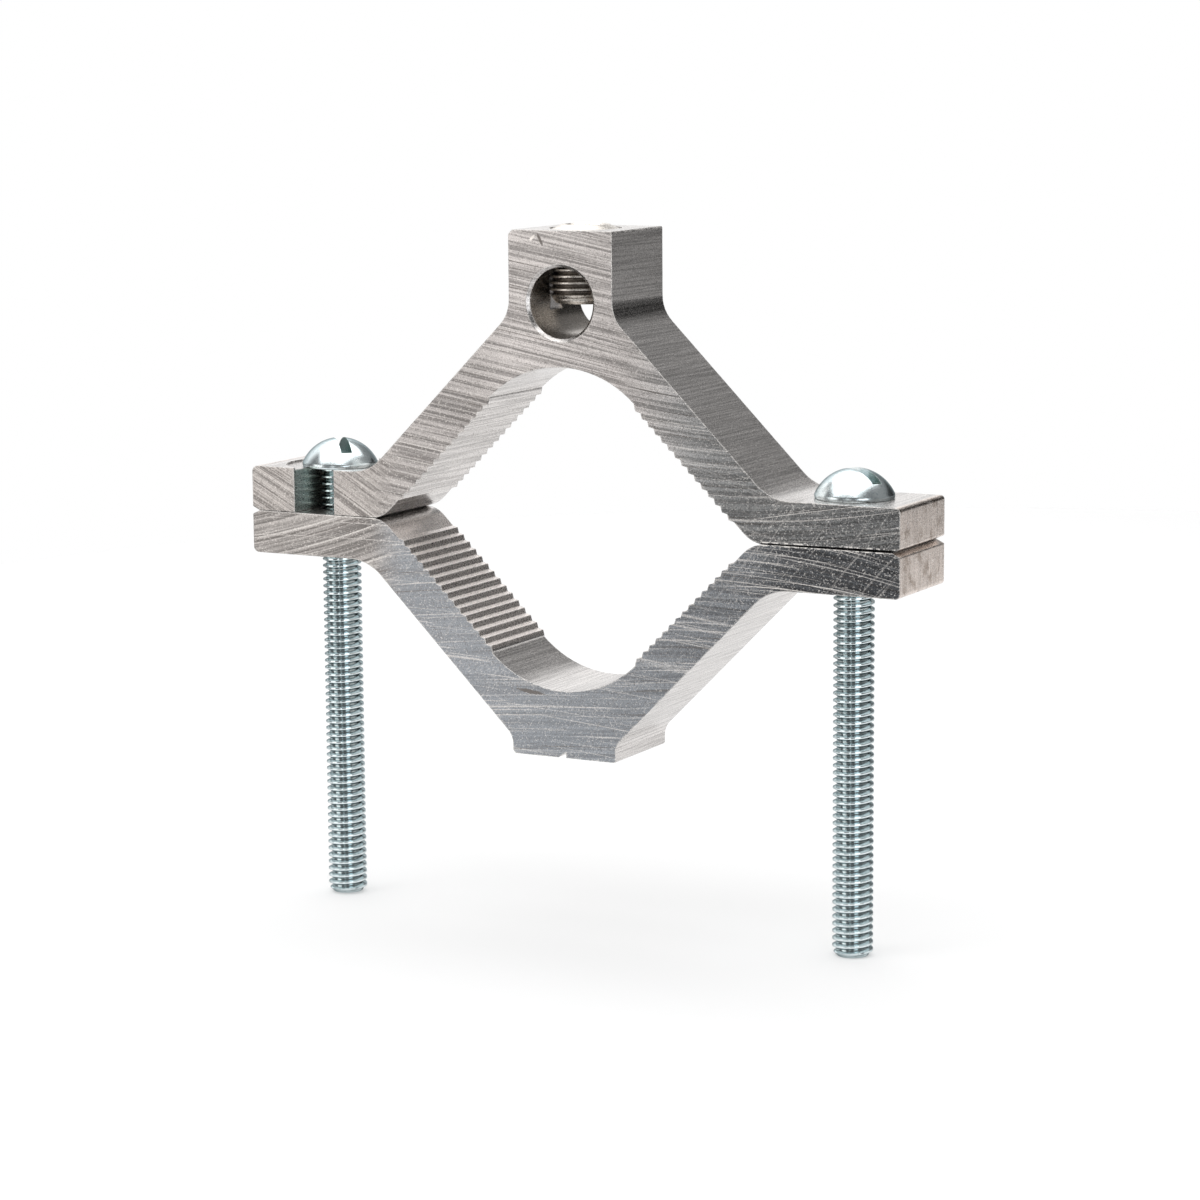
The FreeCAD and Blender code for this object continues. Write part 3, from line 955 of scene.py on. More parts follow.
        # Painted reflection: the slot wall is tinted pale green for the zinc screw mirrored in it.
        colour = graph.blend_colours(masks.slot(), colour, self.painted_slot_tint)
        upright = graph.join_xyz(
            0.0,
            graph.math("DIVIDE", masks.parts["Y"], self.rub_pitch),
            graph.math("DIVIDE", masks.parts["Z"], self.rub_length),
        )
        rubs = graph.span(graph.noise(upright, 1.0, 2.0, 0.6), 0.38, 0.62)
        stains = graph.noise(masks.place, self.stain_density, 3.0, 0.6)
        stains = graph.span(stains, 0.5, 0.66, 0.0, self.stain_strength)
        end = graph.blend_colours(
            rubs, scaled(self.end_tint, self.end_low_tone), scaled(self.end_tint, self.end_high_tone)
        )
        end = graph.blend_colours(stains, end, self.stain)
        colour = graph.blend_colours(masks.end(), colour, end)
        return graph.blend_colours(masks.bore(), colour, self.bore_tint)

    def add_speckle(
        self, graph: Graph, speckle: bpy.types.NodeOutputs, rubbed: Link, sawn: Link, colour: Link
    ) -> Link:
        """Break a colour up with grain, pits and glints.

        Args:
            graph: The material's graph.
            speckle: Outputs of the speckle group.
            rubbed: Mask of the rubbed right-hand end.
            sawn: Mask of the sawn faces.
            colour: The colour so far.

        Returns:
            The speckled colour's socket.
        """
        depth = graph.blend_values(graph.times(sawn, rubbed), self.grain, self.rubbed_grain)
        grain = graph.times(graph.math("SUBTRACT", 1.0, speckle["Grain"]), depth)
        colour = graph.blend_colours(grain, colour, self.dark_tint)
        colour = graph.blend_colours(graph.times(speckle["Pits"], self.pits), colour, self.dark_tint)
        strength = graph.blend_values(rubbed, self.glints, self.rubbed_glints)
        return graph.blend_colours(graph.times(speckle["Glints"], strength), colour, self.pale)

    def add_blemish(
        self, graph: Graph, effects: SharedEffects, place: Link, blemish: Blemish, colour: Link
    ) -> Link:
        """Lay one dent, gouge or smear over a colour.

        Args:
            graph: The material's graph.
            effects: The shared node groups.
            place: Object coordinates.
            blemish: The mark to lay.
            colour: The colour so far.

        Returns:
            The marked colour's socket.
        """
        patch = graph.use(
            effects.patch,
            Place=place,
            Centre=(blemish.x, blemish.y, blemish.z),
            Angle=math.radians(blemish.angle),
            Half_Length=blemish.half_length,
            Half_Width=blemish.half_width,
        )
        tint = tuple(low + (high - low) * blemish.pale for low, high in zip(self.dark_tint, self.pale))
        return graph.blend_colours(graph.times(patch["Mask"], self.blemish_strength), colour, tint)


@dataclass(frozen=True)
class ZincFinish:
    """Bright zinc plate on one clamp screw, with painted shade in its driver slot and at the thread's
    roots.
    """

    name: str
    centre: float
    slot_turn: float
    slot_floor: float
    seat: float
    slot_pale_reach: float
    slot_half_width: float = 1.12 * MM
    crest: float = 3.9 * MM
    root: float = 3.25 * MM
    # Painted shade at the thread's roots.
    root_shade: float = 0.35
    bright: Tint = (0.77, 0.845, 0.865, 1.0)
    shade: Tint = (0.34, 0.42, 0.43, 1.0)
    # Painted shade in the driver slot.
    painted_slot_tint: Tint = (0.46, 0.55, 0.53, 1.0)
    rim_tint: Tint = (0.3, 0.34, 0.35, 1.0)
    cloud_density: float = 420.0
    cloud_strength: float = 0.4
    cloud_roughness: float = 0.2
    thread_roughness: float = 0.05
    head_roughness: float = 0.14
    pits: float = 0.5
    bump_strength: float = 0.2
    bump_depth: float = 0.012 * MM

    def build(self, effects: SharedEffects) -> bpy.types.Material:
        """Build the plated steel's material.

        Args:
            effects: The shared node groups.

        Returns:
            The new material.
        """
        material, graph, shader = start_material(self.name)
        shader.inputs["Metallic"].default_value = 1.0
        shader.inputs["Specular Tint"].default_value = self.rim_tint
        place = graph.add("ShaderNodeTexCoord").outputs["Object"]
        parts = graph.split_xyz(place)
        aside = graph.math("SUBTRACT", parts["X"], self.centre)
        reach = graph.vector("LENGTH", graph.join_xyz(aside, parts["Y"], 0.0))
        under_head = graph.span(parts["Z"], self.seat, self.seat - 0.2 * MM)
        speckle = graph.use(effects.speckle, Place=place)
        cloud = graph.noise(place, self.cloud_density, 3.0)

        clouded = graph.span(cloud, 0.5, 0.75, 0.0, self.cloud_strength)
        colour = graph.blend_colours(clouded, self.bright, self.shade)
        colour = graph.blend_colours(graph.times(speckle["Pits"], self.pits), colour, self.shade)
        # Painted shade at the thread's roots, under the head.
        roots = graph.times(graph.span(reach, self.crest, self.root), under_head, self.root_shade)
        colour = graph.blend_colours(roots, colour, self.shade)
        in_slot = self.in_slot(graph, parts, aside, reach)
        # Painted shade: the driver slot is darkened to a dull green.
        graph.feed(shader.inputs["Base Color"], graph.blend_colours(in_slot, colour, self.painted_slot_tint))

        rough = graph.blend_values(under_head, self.head_roughness, self.thread_roughness)
        rough = graph.math("MULTIPLY_ADD", cloud, self.cloud_roughness, rough)
        graph.feed(shader.inputs["Roughness"], rough)
        bump = graph.add("ShaderNodeBump", Strength=self.bump_strength, Distance=self.bump_depth)
        graph.feed(bump.inputs["Height"], speckle["Grain"])
        graph.feed(shader.inputs["Normal"], bump.outputs["Normal"])
        return material

    def in_slot(self, graph: Graph, parts: bpy.types.NodeOutputs, aside: Link, reach: Link) -> Link:
        """Mask the driver slot's walls and floor, where shade is painted.

        Args:
            graph: The material's graph.
            parts: X, Y and Z of the place.
            aside: Distance from the screw's axis along X.
            reach: Distance from the screw's axis.

        Returns:
            The mask's socket.
        """
        angle = math.radians(self.slot_turn)
        from_middle = graph.math(
            "MULTIPLY_ADD", aside, -math.sin(angle), graph.times(parts["Y"], math.cos(angle))
        )
        from_middle = graph.math("ABSOLUTE", from_middle)
        return graph.times(
            graph.span(from_middle, self.slot_half_width + 0.02 * MM, self.slot_half_width),
            graph.span(parts["Z"], self.slot_floor - 0.1 * MM, self.slot_floor),
            graph.span(reach, self.slot_pale_reach, self.slot_pale_reach + 0.8 * MM),
        )


@dataclass(frozen=True)
class TurnedFinish:
    """Dull machined aluminium of the set screw, with painted shade at the thread's roots."""

    name: str = "Machined aluminium"
    tint: Tint = (0.70, 0.66, 0.61, 1.0)
    dark_tint: Tint = (0.10, 0.082, 0.068, 1.0)
    crest: float = 7.0 * MM
    root: float = 6.5 * MM
    threaded_below: float = 57.0 * MM
    threaded_above: float = 45.6 * MM
    root_shade_strength: float = 0.85
    pits: float = 0.6
    roughness: float = 0.26
    grain_roughness: float = 0.15
    bump_strength: float = 0.2
    bump_depth: float = 0.02 * MM

    def build(self, effects: SharedEffects) -> bpy.types.Material:
        """Build the set screw's material.

        Args:
            effects: The shared node groups.

        Returns:
            The new material.
        """
        material, graph, shader = start_material(self.name)
        shader.inputs["Metallic"].default_value = 1.0
        place = graph.add("ShaderNodeTexCoord").outputs["Object"]
        parts = graph.split_xyz(place)
        speckle = graph.use(effects.speckle, Place=place)
        colour = graph.blend_colours(graph.times(speckle["Pits"], self.pits), self.tint, self.dark_tint)
        reach = graph.vector("LENGTH", graph.join_xyz(parts["X"], parts["Y"], 0.0))
        # Painted shade: the thread's roots inside the lug are darkened towards black.
        painted_root_shade = graph.times(
            graph.span(reach, self.crest, self.root),
            graph.span(parts["Z"], self.threaded_below, self.threaded_below - 0.3 * MM),
            graph.span(parts["Z"], self.threaded_above - 0.3 * MM, self.threaded_above),
            self.root_shade_strength,
        )
        graph.feed(shader.inputs["Base Color"], graph.blend_colours(painted_root_shade, colour, self.dark_tint))
        rough = graph.math("MULTIPLY_ADD", speckle["Grain"], self.grain_roughness, self.roughness)
        graph.feed(shader.inputs["Roughness"], rough)
        bump = graph.add("ShaderNodeBump", Strength=self.bump_strength, Distance=self.bump_depth)
        graph.feed(bump.inputs["Height"], speckle["Grain"])
        graph.feed(shader.inputs["Normal"], bump.outputs["Normal"])
        return material


def mesh_from_modifiers(source: bpy.types.Object, name: str) -> bpy.types.Mesh:
    """Turn an object with its modifiers into a plain mesh, and remove the object.

    Args:
        source: The object whose result is wanted.
        name: The new mesh's name.

    Returns:
        The plain mesh.
    """
    bpy.context.view_layer.update()
    evaluated = source.evaluated_get(bpy.context.evaluated_depsgraph_get())
    mesh = bpy.data.meshes.new_from_object(evaluated)
    mesh.name = name
    source.modifiers.clear()
    bpy.data.objects.remove(source)
    return mesh


def link_new(name: str, mesh: bpy.types.Mesh) -> bpy.types.Object:
    """Put a mesh into the scene as an object at the origin.

    Args:
        name: The object's name.
        mesh: Its mesh.

    Returns:
        The new object.
    """
    piece = bpy.data.objects.new(name, mesh)
    bpy.context.scene.collection.objects.link(piece)
    return piece


def joined_mesh(name: str, parts: list[tuple[bpy.types.Mesh, Matrix]]) -> bpy.types.Mesh:
    """Put several meshes together, each in its own place.

    Args:
        name: The new mesh's name.
        parts: Meshes and the places they go to.

    Returns:
        One mesh that holds them all.
    """
    merged = bmesh.new()
    for part, place in parts:
        part.transform(place)
        merged.from_mesh(part)
    mesh = bpy.data.meshes.new(name)
    merged.to_mesh(mesh)
    merged.free()
    return mesh


class ThreadTree:
    """The Geometry Nodes tree that winds a thread round a rod.

    One turn of the thread is a strip from root to root. ROOT_FLAT and CREST_FLAT are the shares of
    its rise where the flank starts and ends.
    """

    INPUTS = {
        "Geometry": (Socket.GEOMETRY, None),
        "Crest Radius": (Socket.NUMBER, 3.95 * MM),
        "Depth": (Socket.NUMBER, 0.86 * MM),
        "Pitch": (Socket.NUMBER, 1.4111 * MM),
        "Top": (Socket.NUMBER, 0.0),
        "Tip": (Socket.NUMBER, -88.9 * MM),
        "Top Radius": (Socket.NUMBER, 3.0 * MM),
        "Top Slope": (Socket.NUMBER, 1.0),
        "Tip Radius": (Socket.NUMBER, 3.0 * MM),
        "Tip Slope": (Socket.NUMBER, 1.0),
        "Steps": (Socket.COUNT, 36),
        "Rows": (Socket.COUNT, 8),
        "Material": (Socket.MATERIAL, None),
    }
    ROOT_FLAT = 0.12
    CREST_FLAT = 0.84
    MERGE_DISTANCE = 0.002 * MM

    def __init__(self) -> None:
        """Build the tree once."""
        graph, given, result = start_group(
            "Threaded rod", self.INPUTS, {"Geometry": Socket.GEOMETRY}, "GeometryNodeTree"
        )
        self.tree = graph.tree
        self.graph = graph
        self.given = given
        strip = self.helix_strip()
        caps = [self.cap("Tip", "Tip Radius", True), self.cap("Top", "Top Radius", False)]
        together = graph.add("GeometryNodeJoinGeometry")
        for piece in [strip, *caps]:
            graph.feed(together.inputs[0], piece)
        merged = graph.add(
            "GeometryNodeMergeByDistance",
            Geometry=together.outputs[0],
            Distance=self.MERGE_DISTANCE,
        )
        smooth = graph.add("GeometryNodeSetShadeSmooth")
        graph.feed(smooth.inputs[0], merged.outputs[0])
        real = graph.add("GeometryNodeRealizeInstances")
        graph.feed(real.inputs[0], smooth.outputs[0])
        dressed = graph.add("GeometryNodeSetMaterial", Material=given["Material"])
        graph.feed(dressed.inputs["Geometry"], real.outputs[0])
        graph.feed(result.inputs["Geometry"], dressed.outputs[0])

    def helix_strip(self) -> Link:
        """Wind a flat grid into a threaded skin, trimmed at both ends.

        Returns:
            The skin's geometry socket.
        """
        graph, given = self.graph, self.given
        length = graph.math("SUBTRACT", given["Top"], given["Tip"])
        turns = graph.math("ADD", graph.math("CEIL", graph.math("DIVIDE", length, given["Pitch"])), 2.0)
        columns = graph.math("ADD", graph.times(turns, given["Steps"]), 1.0)
        rows = graph.math("ADD", given["Rows"], 1.0)
        grid = graph.add(
            "GeometryNodeMeshGrid", Size_X=1.0, Size_Y=1.0, Vertices_X=columns, Vertices_Y=rows
        )
        flat = graph.split_xyz(graph.add("GeometryNodeInputPosition").outputs[0])
        wound = graph.times(graph.math("ADD", flat["X"], 0.5), turns)
        share = graph.math("ADD", flat["Y"], 0.5)
        angle = graph.times(wound, -2.0 * math.pi)
        fall = graph.times(graph.math("ADD", wound, share), given["Pitch"])
        height = graph.math("SUBTRACT", graph.math("ADD", given["Top"], given["Pitch"]), fall)
        height = graph.math("MINIMUM", graph.most(height, given["Tip"]), given["Top"])
        from_crest = graph.math("ABSOLUTE", graph.math("MULTIPLY_ADD", share, 2.0, -1.0))
        ridge = graph.math("SUBTRACT", 1.0, from_crest)
        fullness = graph.span(ridge, self.ROOT_FLAT, self.CREST_FLAT)
        hollow = graph.times(graph.math("SUBTRACT", 1.0, fullness), given["Depth"])
        radius = graph.math("SUBTRACT", given["Crest Radius"], hollow)
        for end, sign in (("Tip", 1.0), ("Top", -1.0)):
            inward = graph.times(graph.math("SUBTRACT", height, given[end]), sign)
            limit = graph.math("MULTIPLY_ADD", inward, given[f"{end} Slope"], given[f"{end} Radius"])
            radius = graph.math("MINIMUM", radius, limit)
        place = graph.join_xyz(
            graph.times(radius, graph.math("COSINE", angle)),
            graph.times(radius, graph.math("SINE", angle)),
            height,
        )
        moved = graph.add("GeometryNodeSetPosition", Position=place)
        graph.feed(moved.inputs["Geometry"], grid.outputs["Mesh"])
        return moved.outputs[0]

    def cap(self, end: str, radius: str, flip: bool) -> Link:
        """Close one end of the skin with a disc.

        Args:
            end: Name of the input that holds the end's height.
            radius: Name of the input that holds the disc's radius.
            flip: Whether the disc faces down.

        Returns:
            The disc's geometry socket.
        """
        graph, given = self.graph, self.given
        disc = graph.add(
            "GeometryNodeMeshCircle",
            {"fill_type": "NGON"},
            Vertices=given["Steps"],
            Radius=given[radius],
        )
        raised = graph.add("GeometryNodeTransform", Translation=graph.join_xyz(0.0, 0.0, given[end]))
        graph.feed(raised.inputs["Geometry"], disc.outputs["Mesh"])
        if not flip:
            return raised.outputs[0]
        turned = graph.add("GeometryNodeFlipFaces")
        graph.feed(turned.inputs[0], raised.outputs[0])
        return turned.outputs[0]

    def make_rod(self, name: str, material: bpy.types.Material, **sizes: float) -> bpy.types.Mesh:
        """Make one threaded rod.

        Args:
            name: The rod's name.
            material: Its finish.
            **sizes: Values for the tree's inputs, with underscores for spaces.

        Returns:
            The rod's plain mesh.
        """
        host = link_new(name, bpy.data.meshes.new(name))
        modifier = host.modifiers.new("thread", "NODES")
        modifier.node_group = self.tree
        sockets = {
            item.name: item.identifier
            for item in self.tree.interface.items_tree
            if item.in_out == "INPUT"
        }
        for label, size in sizes.items():
            modifier[sockets[label.replace("_", " ")]] = size
        modifier[sockets["Material"]] = material
        mesh = mesh_from_modifiers(host, name)
        clean = bmesh.new()
        clean.from_mesh(mesh)
        bmesh.ops.dissolve_degenerate(clean, dist=self.MERGE_DISTANCE, edges=clean.edges[:])
        bmesh.ops.recalc_face_normals(clean, faces=clean.faces[:])
        clean.to_mesh(mesh)
        clean.free()
        return mesh


@dataclass
class ClampScrew:
    """One clamp screw: a domed, slotted head on a fully threaded shank.

    slot_turn is in degrees from +X. first_crest is a height on the shank that sets how far the
    thread is turned about the axis. head_rim is the height of the head's edge under the dome.
    """

    side: Side
    threads: ThreadTree
    effects: SharedEffects
    slot_turn: float
    first_crest: float
    slot_pale_reach: float
    radius: float = 3.95 * MM
    depth: float = 0.80 * MM
    pitch: float = 1.4111 * MM
    tip_radius: float = 2.95 * MM
    head_radius: float = 7.65 * MM
    head_height: float = 5.85 * MM
    head_rim: float = 1.1 * MM
    rim_round: float = 0.4 * MM
    slot_width: float = 2.2 * MM
    slot_depth: float = 2.6 * MM
    edge_round: float = 0.1 * MM
    head_overlap: float = 0.6 * MM
    sharp_angle: float = 38.0
    dome_steps: int = 20
    turn_steps: int = 72
    x: float = field(init=False)
    seat: float = field(init=False)
    length: float = field(init=False)

    def __post_init__(self) -> None:
        """Take the screw's place and length from its CAD node."""
        low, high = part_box(self.node)
        self.x = (low.x + high.x) / 2
        self.seat = high.z - self.head_height
        self.length = self.seat - low.z

    @property
    def node(self) -> str:
        """Name of the CAD node that the piece stands for."""
        return f"{self.side.value}_clamp_screw"

    def head_section(self) -> list[tuple[float, float]]:
        """List the head's half section from the underside's middle to the apex.

        Returns:
            Radius and height of each point.
        """
        rise = self.head_height - self.head_rim
        reach = self.head_radius - self.rim_round / 4
        dome = (reach**2 + rise**2) / (2 * rise)
        widest = math.asin(reach / dome)
        points = [
            (0.0, 0.0),
            (self.head_radius - self.rim_round, 0.0),
            (reach, self.rim_round / 3),
            (self.head_radius, self.rim_round),
            (self.head_radius, self.head_rim - self.rim_round / 2),
            (reach, self.head_rim),
        ]
        for step in range(1, self.dome_steps + 1):
            angle = widest * (1 - step / self.dome_steps)
            points.append((dome * math.sin(angle), self.head_height - dome * (1 - math.cos(angle))))
        return points

    def make_head(self) -> bpy.types.Mesh:
        """Turn the head, cut its slot and round its edges.

        Returns:
            The head's mesh, with its underside at zero.
        """
        head = link_new("head", turned_mesh("head", self.head_section(), self.turn_steps))
        size = (4 * self.head_radius, self.slot_width, 2 * self.slot_depth)
        cutter = link_new("slot", box_mesh("slot", size))
        cutter.data.transform(Matrix.Translation((0, 0, self.head_height)))
        cutter.data.transform(Matrix.Rotation(math.radians(self.slot_turn), 4, "Z"))
        add_cut(head, cutter)
        add_rounding(head, self.edge_round)
        mesh = mesh_from_modifiers(head, "head")
        bpy.data.objects.remove(cutter)
        return mesh

    def build(self) -> bpy.types.Object:
        """Build the screw in its place and tie it to its body.

        Returns:
            The finished piece.
        """
        material = ZincFinish(
            name=f"Bright zinc plate, {self.side.value}",
            centre=self.x,
            slot_turn=self.slot_turn,
            slot_floor=self.seat + self.head_height - self.slot_depth,
            seat=self.seat,
            slot_pale_reach=self.slot_pale_reach,
        ).build(self.effects)
        top = self.head_overlap
        phase = (self.first_crest - self.seat - top - self.pitch / 2) / self.pitch
        rod = self.threads.make_rod(
            "shank",
            material,
            Crest_Radius=self.radius,
            Depth=self.depth,
            Pitch=self.pitch,
            Top=top,
            Tip=-self.length,
            Top_Radius=self.radius - self.depth,
            Tip_Radius=self.tip_radius,
        )
        turn = Matrix.Rotation(2 * math.pi * phase, 4, "Z")
        mesh = joined_mesh(f"{self.node}_cut", [(rod, turn), (self.make_head(), Matrix.Identity(4))])
        mesh.transform(Matrix.Translation((self.x, 0, self.seat)))
        piece = finish_piece(f"{self.node}_cut", mesh, material, self.sharp_angle)
        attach(piece, f"{self.side.value}_screw_body")
        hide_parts(self.node)
        return piece


@dataclass
class SetScrew:
    """The conductor's set screw, threaded, with a hexagon socket.

    Its crown and its point taper, by a step across and a drop or rise along the axis.
    """

    threads: ThreadTree
    finish: bpy.types.Material
    radius: float = 7.1 * MM
    depth: float = 0.72 * MM
    pitch: float = 1.27 * MM
    crown_step: float = 2.5 * MM
    crown_drop: float = 1.15 * MM
    point_step: float = 1.1 * MM
    point_rise: float = 1.85 * MM
    socket_flats: float = 6.35 * MM
    socket_depth: float = 6.0 * MM
    mouth_radius: float = 4.0 * MM
    mouth_depth: float = 0.9 * MM
    sharp_angle: float = 38.0
    turn_steps: int = 72

    def build(self) -> bpy.types.Object:
        """Build the set screw in its place and tie it to its body.

        Returns:
            The finished piece.
        """
        low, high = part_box("set_screw")
        rod = self.threads.make_rod(
            "set_screw_rod",
            self.finish,
            Crest_Radius=self.radius,
            Depth=self.depth,
            Pitch=self.pitch,
            Top=high.z,
            Tip=low.z,
            Top_Radius=self.radius - self.crown_step,
            Top_Slope=self.crown_step / self.crown_drop,
            Tip_Radius=self.radius - self.point_step,
            Tip_Slope=self.point_step / self.point_rise,
            Steps=self.turn_steps,
        )
        blank = link_new("set_screw_blank", rod)
        corner = self.socket_flats / math.sqrt(3)
        cutter = link_new("socket", prism_mesh("socket", corner, 2 * self.socket_depth, 6))
        cutter.data.transform(Matrix.Translation((0, 0, high.z)))
        add_cut(blank, cutter)
        flare = link_new("flare", turned_mesh("flare", self.flare_section(high.z), self.turn_steps))
        add_cut(blank, flare)
        mesh = mesh_from_modifiers(blank, "set_screw_cut")
        bpy.data.objects.remove(cutter)
        bpy.data.objects.remove(flare)
        piece = finish_piece("set_screw_cut", mesh, self.finish, self.sharp_angle)
        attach(piece, "set_screw_body")
        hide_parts("set_screw")
        return piece

    def flare_section(self, top: float) -> list[tuple[float, float]]:
        """List the half section of the socket's flared mouth, carried on above the top.

        Args:
            top: Height of the screw's top.

        Returns:
            Radius and height of each point.
        """
        rim, depth = self.mouth_radius, self.mouth_depth
        low, high = top - depth, top + depth
        return [(0.0, low), (rim - depth, low), (rim + depth, high), (0.0, high)]


def turned_mesh(name: str, section: list[tuple[float, float]], steps: int) -> bpy.types.Mesh:
    """Turn a half section round Z into a closed skin.

    Args:
        name: The mesh's name.
        section: Radius and height of each point, both ends on the axis.
        steps: Number of facets round the axis.

    Returns:
        The closed mesh.
    """
    skin = bmesh.new()
    rings = []
    for radius, height in section:
        if radius < 1e-9:
            rings.append([skin.verts.new((0, 0, height))])
            continue
        ring = []
        for step in range(steps):
            angle = 2 * math.pi * step / steps
            ring.append(skin.verts.new((radius * math.cos(angle), radius * math.sin(angle), height)))
        rings.append(ring)
    for lower, upper in zip(rings, rings[1:]):
        for step in range(steps):
            following = (step + 1) % steps
            corners = [lower[step % len(lower)], lower[following % len(lower)]]
            corners += [upper[following % len(upper)], upper[step % len(upper)]]
            skin.faces.new(list(dict.fromkeys(corners)))
    bmesh.ops.recalc_face_normals(skin, faces=skin.faces[:])
    mesh = bpy.data.meshes.new(name)
    skin.to_mesh(mesh)
    skin.free()
    return mesh


def prism_mesh(name: str, radius: float, height: float, sides: int) -> bpy.types.Mesh:
    """Make an upright prism centred on the origin.

    Args:
        name: The mesh's name.
        radius: Distance from the axis to a corner.
        height: The prism's height.
        sides: Number of sides.

    Returns:
        The closed mesh.
    """
    half = height / 2
    return turned_mesh(name, [(0.0, -half), (radius, -half), (radius, half), (0.0, half)], sides)


def box_mesh(name: str, size: Triple) -> bpy.types.Mesh:
    """Make a box centred on the origin.

    Args:
        name: The mesh's name.
        size: Its length, width and height.

    Returns:
        The closed mesh.
    """
    solid = bmesh.new()
    bmesh.ops.create_cube(solid, size=1.0, matrix=Matrix.Diagonal((*size, 1.0)))
    mesh = bpy.data.meshes.new(name)
    solid.to_mesh(mesh)
    solid.free()
    return mesh


def add_cut(piece: bpy.types.Object, cutter: bpy.types.Object) -> None:
    """Take the cutter's shape away from a piece with a live Boolean.

    Args:
        piece: The piece to cut.
        cutter: The object whose shape goes.
    """
    modifier = piece.modifiers.new("cut", "BOOLEAN")
    modifier.operation = "DIFFERENCE"
    modifier.solver = "EXACT"
    modifier.object = cutter


def add_rounding(piece: bpy.types.Object, width: float, angle: float = 40.0) -> None:
    """Round a piece's sharp edges with a live Bevel.

    Args:
        piece: The piece to round.
        width: The rounding's width.
        angle: Edges that turn by more than this many degrees are rounded.
    """
    modifier = piece.modifiers.new("rounding", "BEVEL")
    modifier.width = width
    modifier.segments = 3
    modifier.limit_method = "ANGLE"
    modifier.angle_limit = math.radians(angle)
    modifier.use_clamp_overlap = True


def finish_piece(
    name: str, mesh: bpy.types.Mesh, material: bpy.types.Material, angle: float
) -> bpy.types.Object:
    """Dress a mesh in one material and smooth it up to an angle.

    Args:
        name: The piece's name.
        mesh: Its mesh, already in place.
        material: Its finish.
        angle: Edges sharper than this many degrees stay sharp.

    Returns:
        The piece, at the origin.
    """
    mesh.materials.clear()
    mesh.materials.append(material)
    mesh.name = name
    mesh.polygons.foreach_set("use_smooth", [True] * len(mesh.polygons))
    mesh.set_sharp_from_angle(angle=math.radians(angle))
    return link_new(name, mesh)


@dataclass
class Jaws:
    """The two sawn extrusions, shown by their CAD nodes, each with its own finish."""

    nodes: dict[str, bpy.types.Object]
    effects: SharedEffects
    upper: SawnFinish = SawnFinish(
        name="Sawn aluminium of the upper jaw",
        left=Zone(tint=(0.55, 0.52, 0.50, 1.0), angle=-37.0, bend=1.5),
        middle=Zone(tint=(0.55, 0.525, 0.515, 1.0), angle=-11.0, bend=0.6),
        right=Zone(
            tint=(0.50, 0.515, 0.525, 1.0), angle=-13.5, bend=-3.5, low_tone=0.72, high_tone=1.2
        ),
        seed=3.0,
        scratches=(
            Scratches(angle=15.5, bend=1.0, seed=34.0, all_over=0.0, on_rubbed=1.0),
            Scratches(angle=-27.0, bend=-3.0, seed=50.0, on_rubbed=0.2),
            Scratches(angle=58.0, bend=1.0, seed=64.0, all_over=0.14, on_rubbed=0.25),
        ),
        blemishes=(
            Blemish(-4.3 * MM, 56.3 * MM, half_length=1.5 * MM, half_width=0.35 * MM, angle=-62.0),
            Blemish(
                -6.0 * MM, 56.6 * MM, half_length=0.9 * MM, half_width=0.3 * MM, angle=40.0, pale=1.0
            ),
        ),
    )
    lower: SawnFinish = SawnFinish(
        name="Sawn aluminium of the lower jaw",
        left=Zone(tint=(0.33, 0.315, 0.305, 1.0), angle=33.0, bend=-3.0),
        middle=Zone(
            tint=(0.305, 0.327, 0.355, 1.0), angle=4.0, bend=0.6, low_tone=0.84, high_tone=1.15
        ),
        right=Zone(
            tint=(0.305, 0.327, 0.355, 1.0), angle=10.7, bend=3.15, low_tone=0.72, high_tone=1.2
        ),
        seed=17.0,
        scratches=(
            Scratches(angle=21.5, bend=5.2, seed=81.0, all_over=0.0, on_rubbed=1.0),
            Scratches(angle=-4.0, bend=0.8, seed=92.0, all_over=0.5, on_rubbed=0.1),
            Scratches(angle=52.0, bend=1.0, seed=97.0, all_over=0.1, on_rubbed=0.3),
        ),
        blemishes=(
            Blemish(-7.4 * MM, -32.4 * MM, half_length=3.4 * MM, half_width=0.45 * MM, angle=-6.0),
        ),
        left_shade_level=1.0,
        right_shade_level=0.5,
        right_shade_from=38.0 * MM,
        right_shade_to=50.0 * MM,
        worn_from=38.0 * MM,
        worn_to=50.0 * MM,
        pale_lines=0.62,
    )

    def build(self) -> list[bpy.types.Object]:
        """Dress both jaws.

        Returns:
            The dressed CAD objects.
        """
        dressed = []
        for name, finish in (("upper_jaw", self.upper), ("lower_jaw", self.lower)):
            jaw = self.nodes[name]
            jaw.data.materials.clear()
            jaw.data.materials.append(finish.build(self.effects))
            dressed.append(jaw)
        return dressed


@dataclass(frozen=True)
class SoftBox:
    """One soft lamp of the studio."""

    name: str
    place: Triple
    width: float
    height: float
    power: float
    tint: Triple = (1.0, 1.0, 1.0)
    target: Triple = (0.0, 0.0, 0.0)

    def build(self) -> bpy.types.Object:
        """Hang the lamp and turn it to its target.

        Returns:
            The lamp, out of the camera's sight.
        """
        light = bpy.data.lights.new(self.name, "AREA")
        light.shape = "RECTANGLE"
        light.size = self.width
        light.size_y = self.height
        light.energy = self.power
        light.color = self.tint
        lamp = bpy.data.objects.new(self.name, light)
        lamp.location = self.place
        lamp.rotation_euler = aim(self.place, self.target)
        lamp.visible_camera = False
        bpy.context.scene.collection.objects.link(lamp)
        return lamp


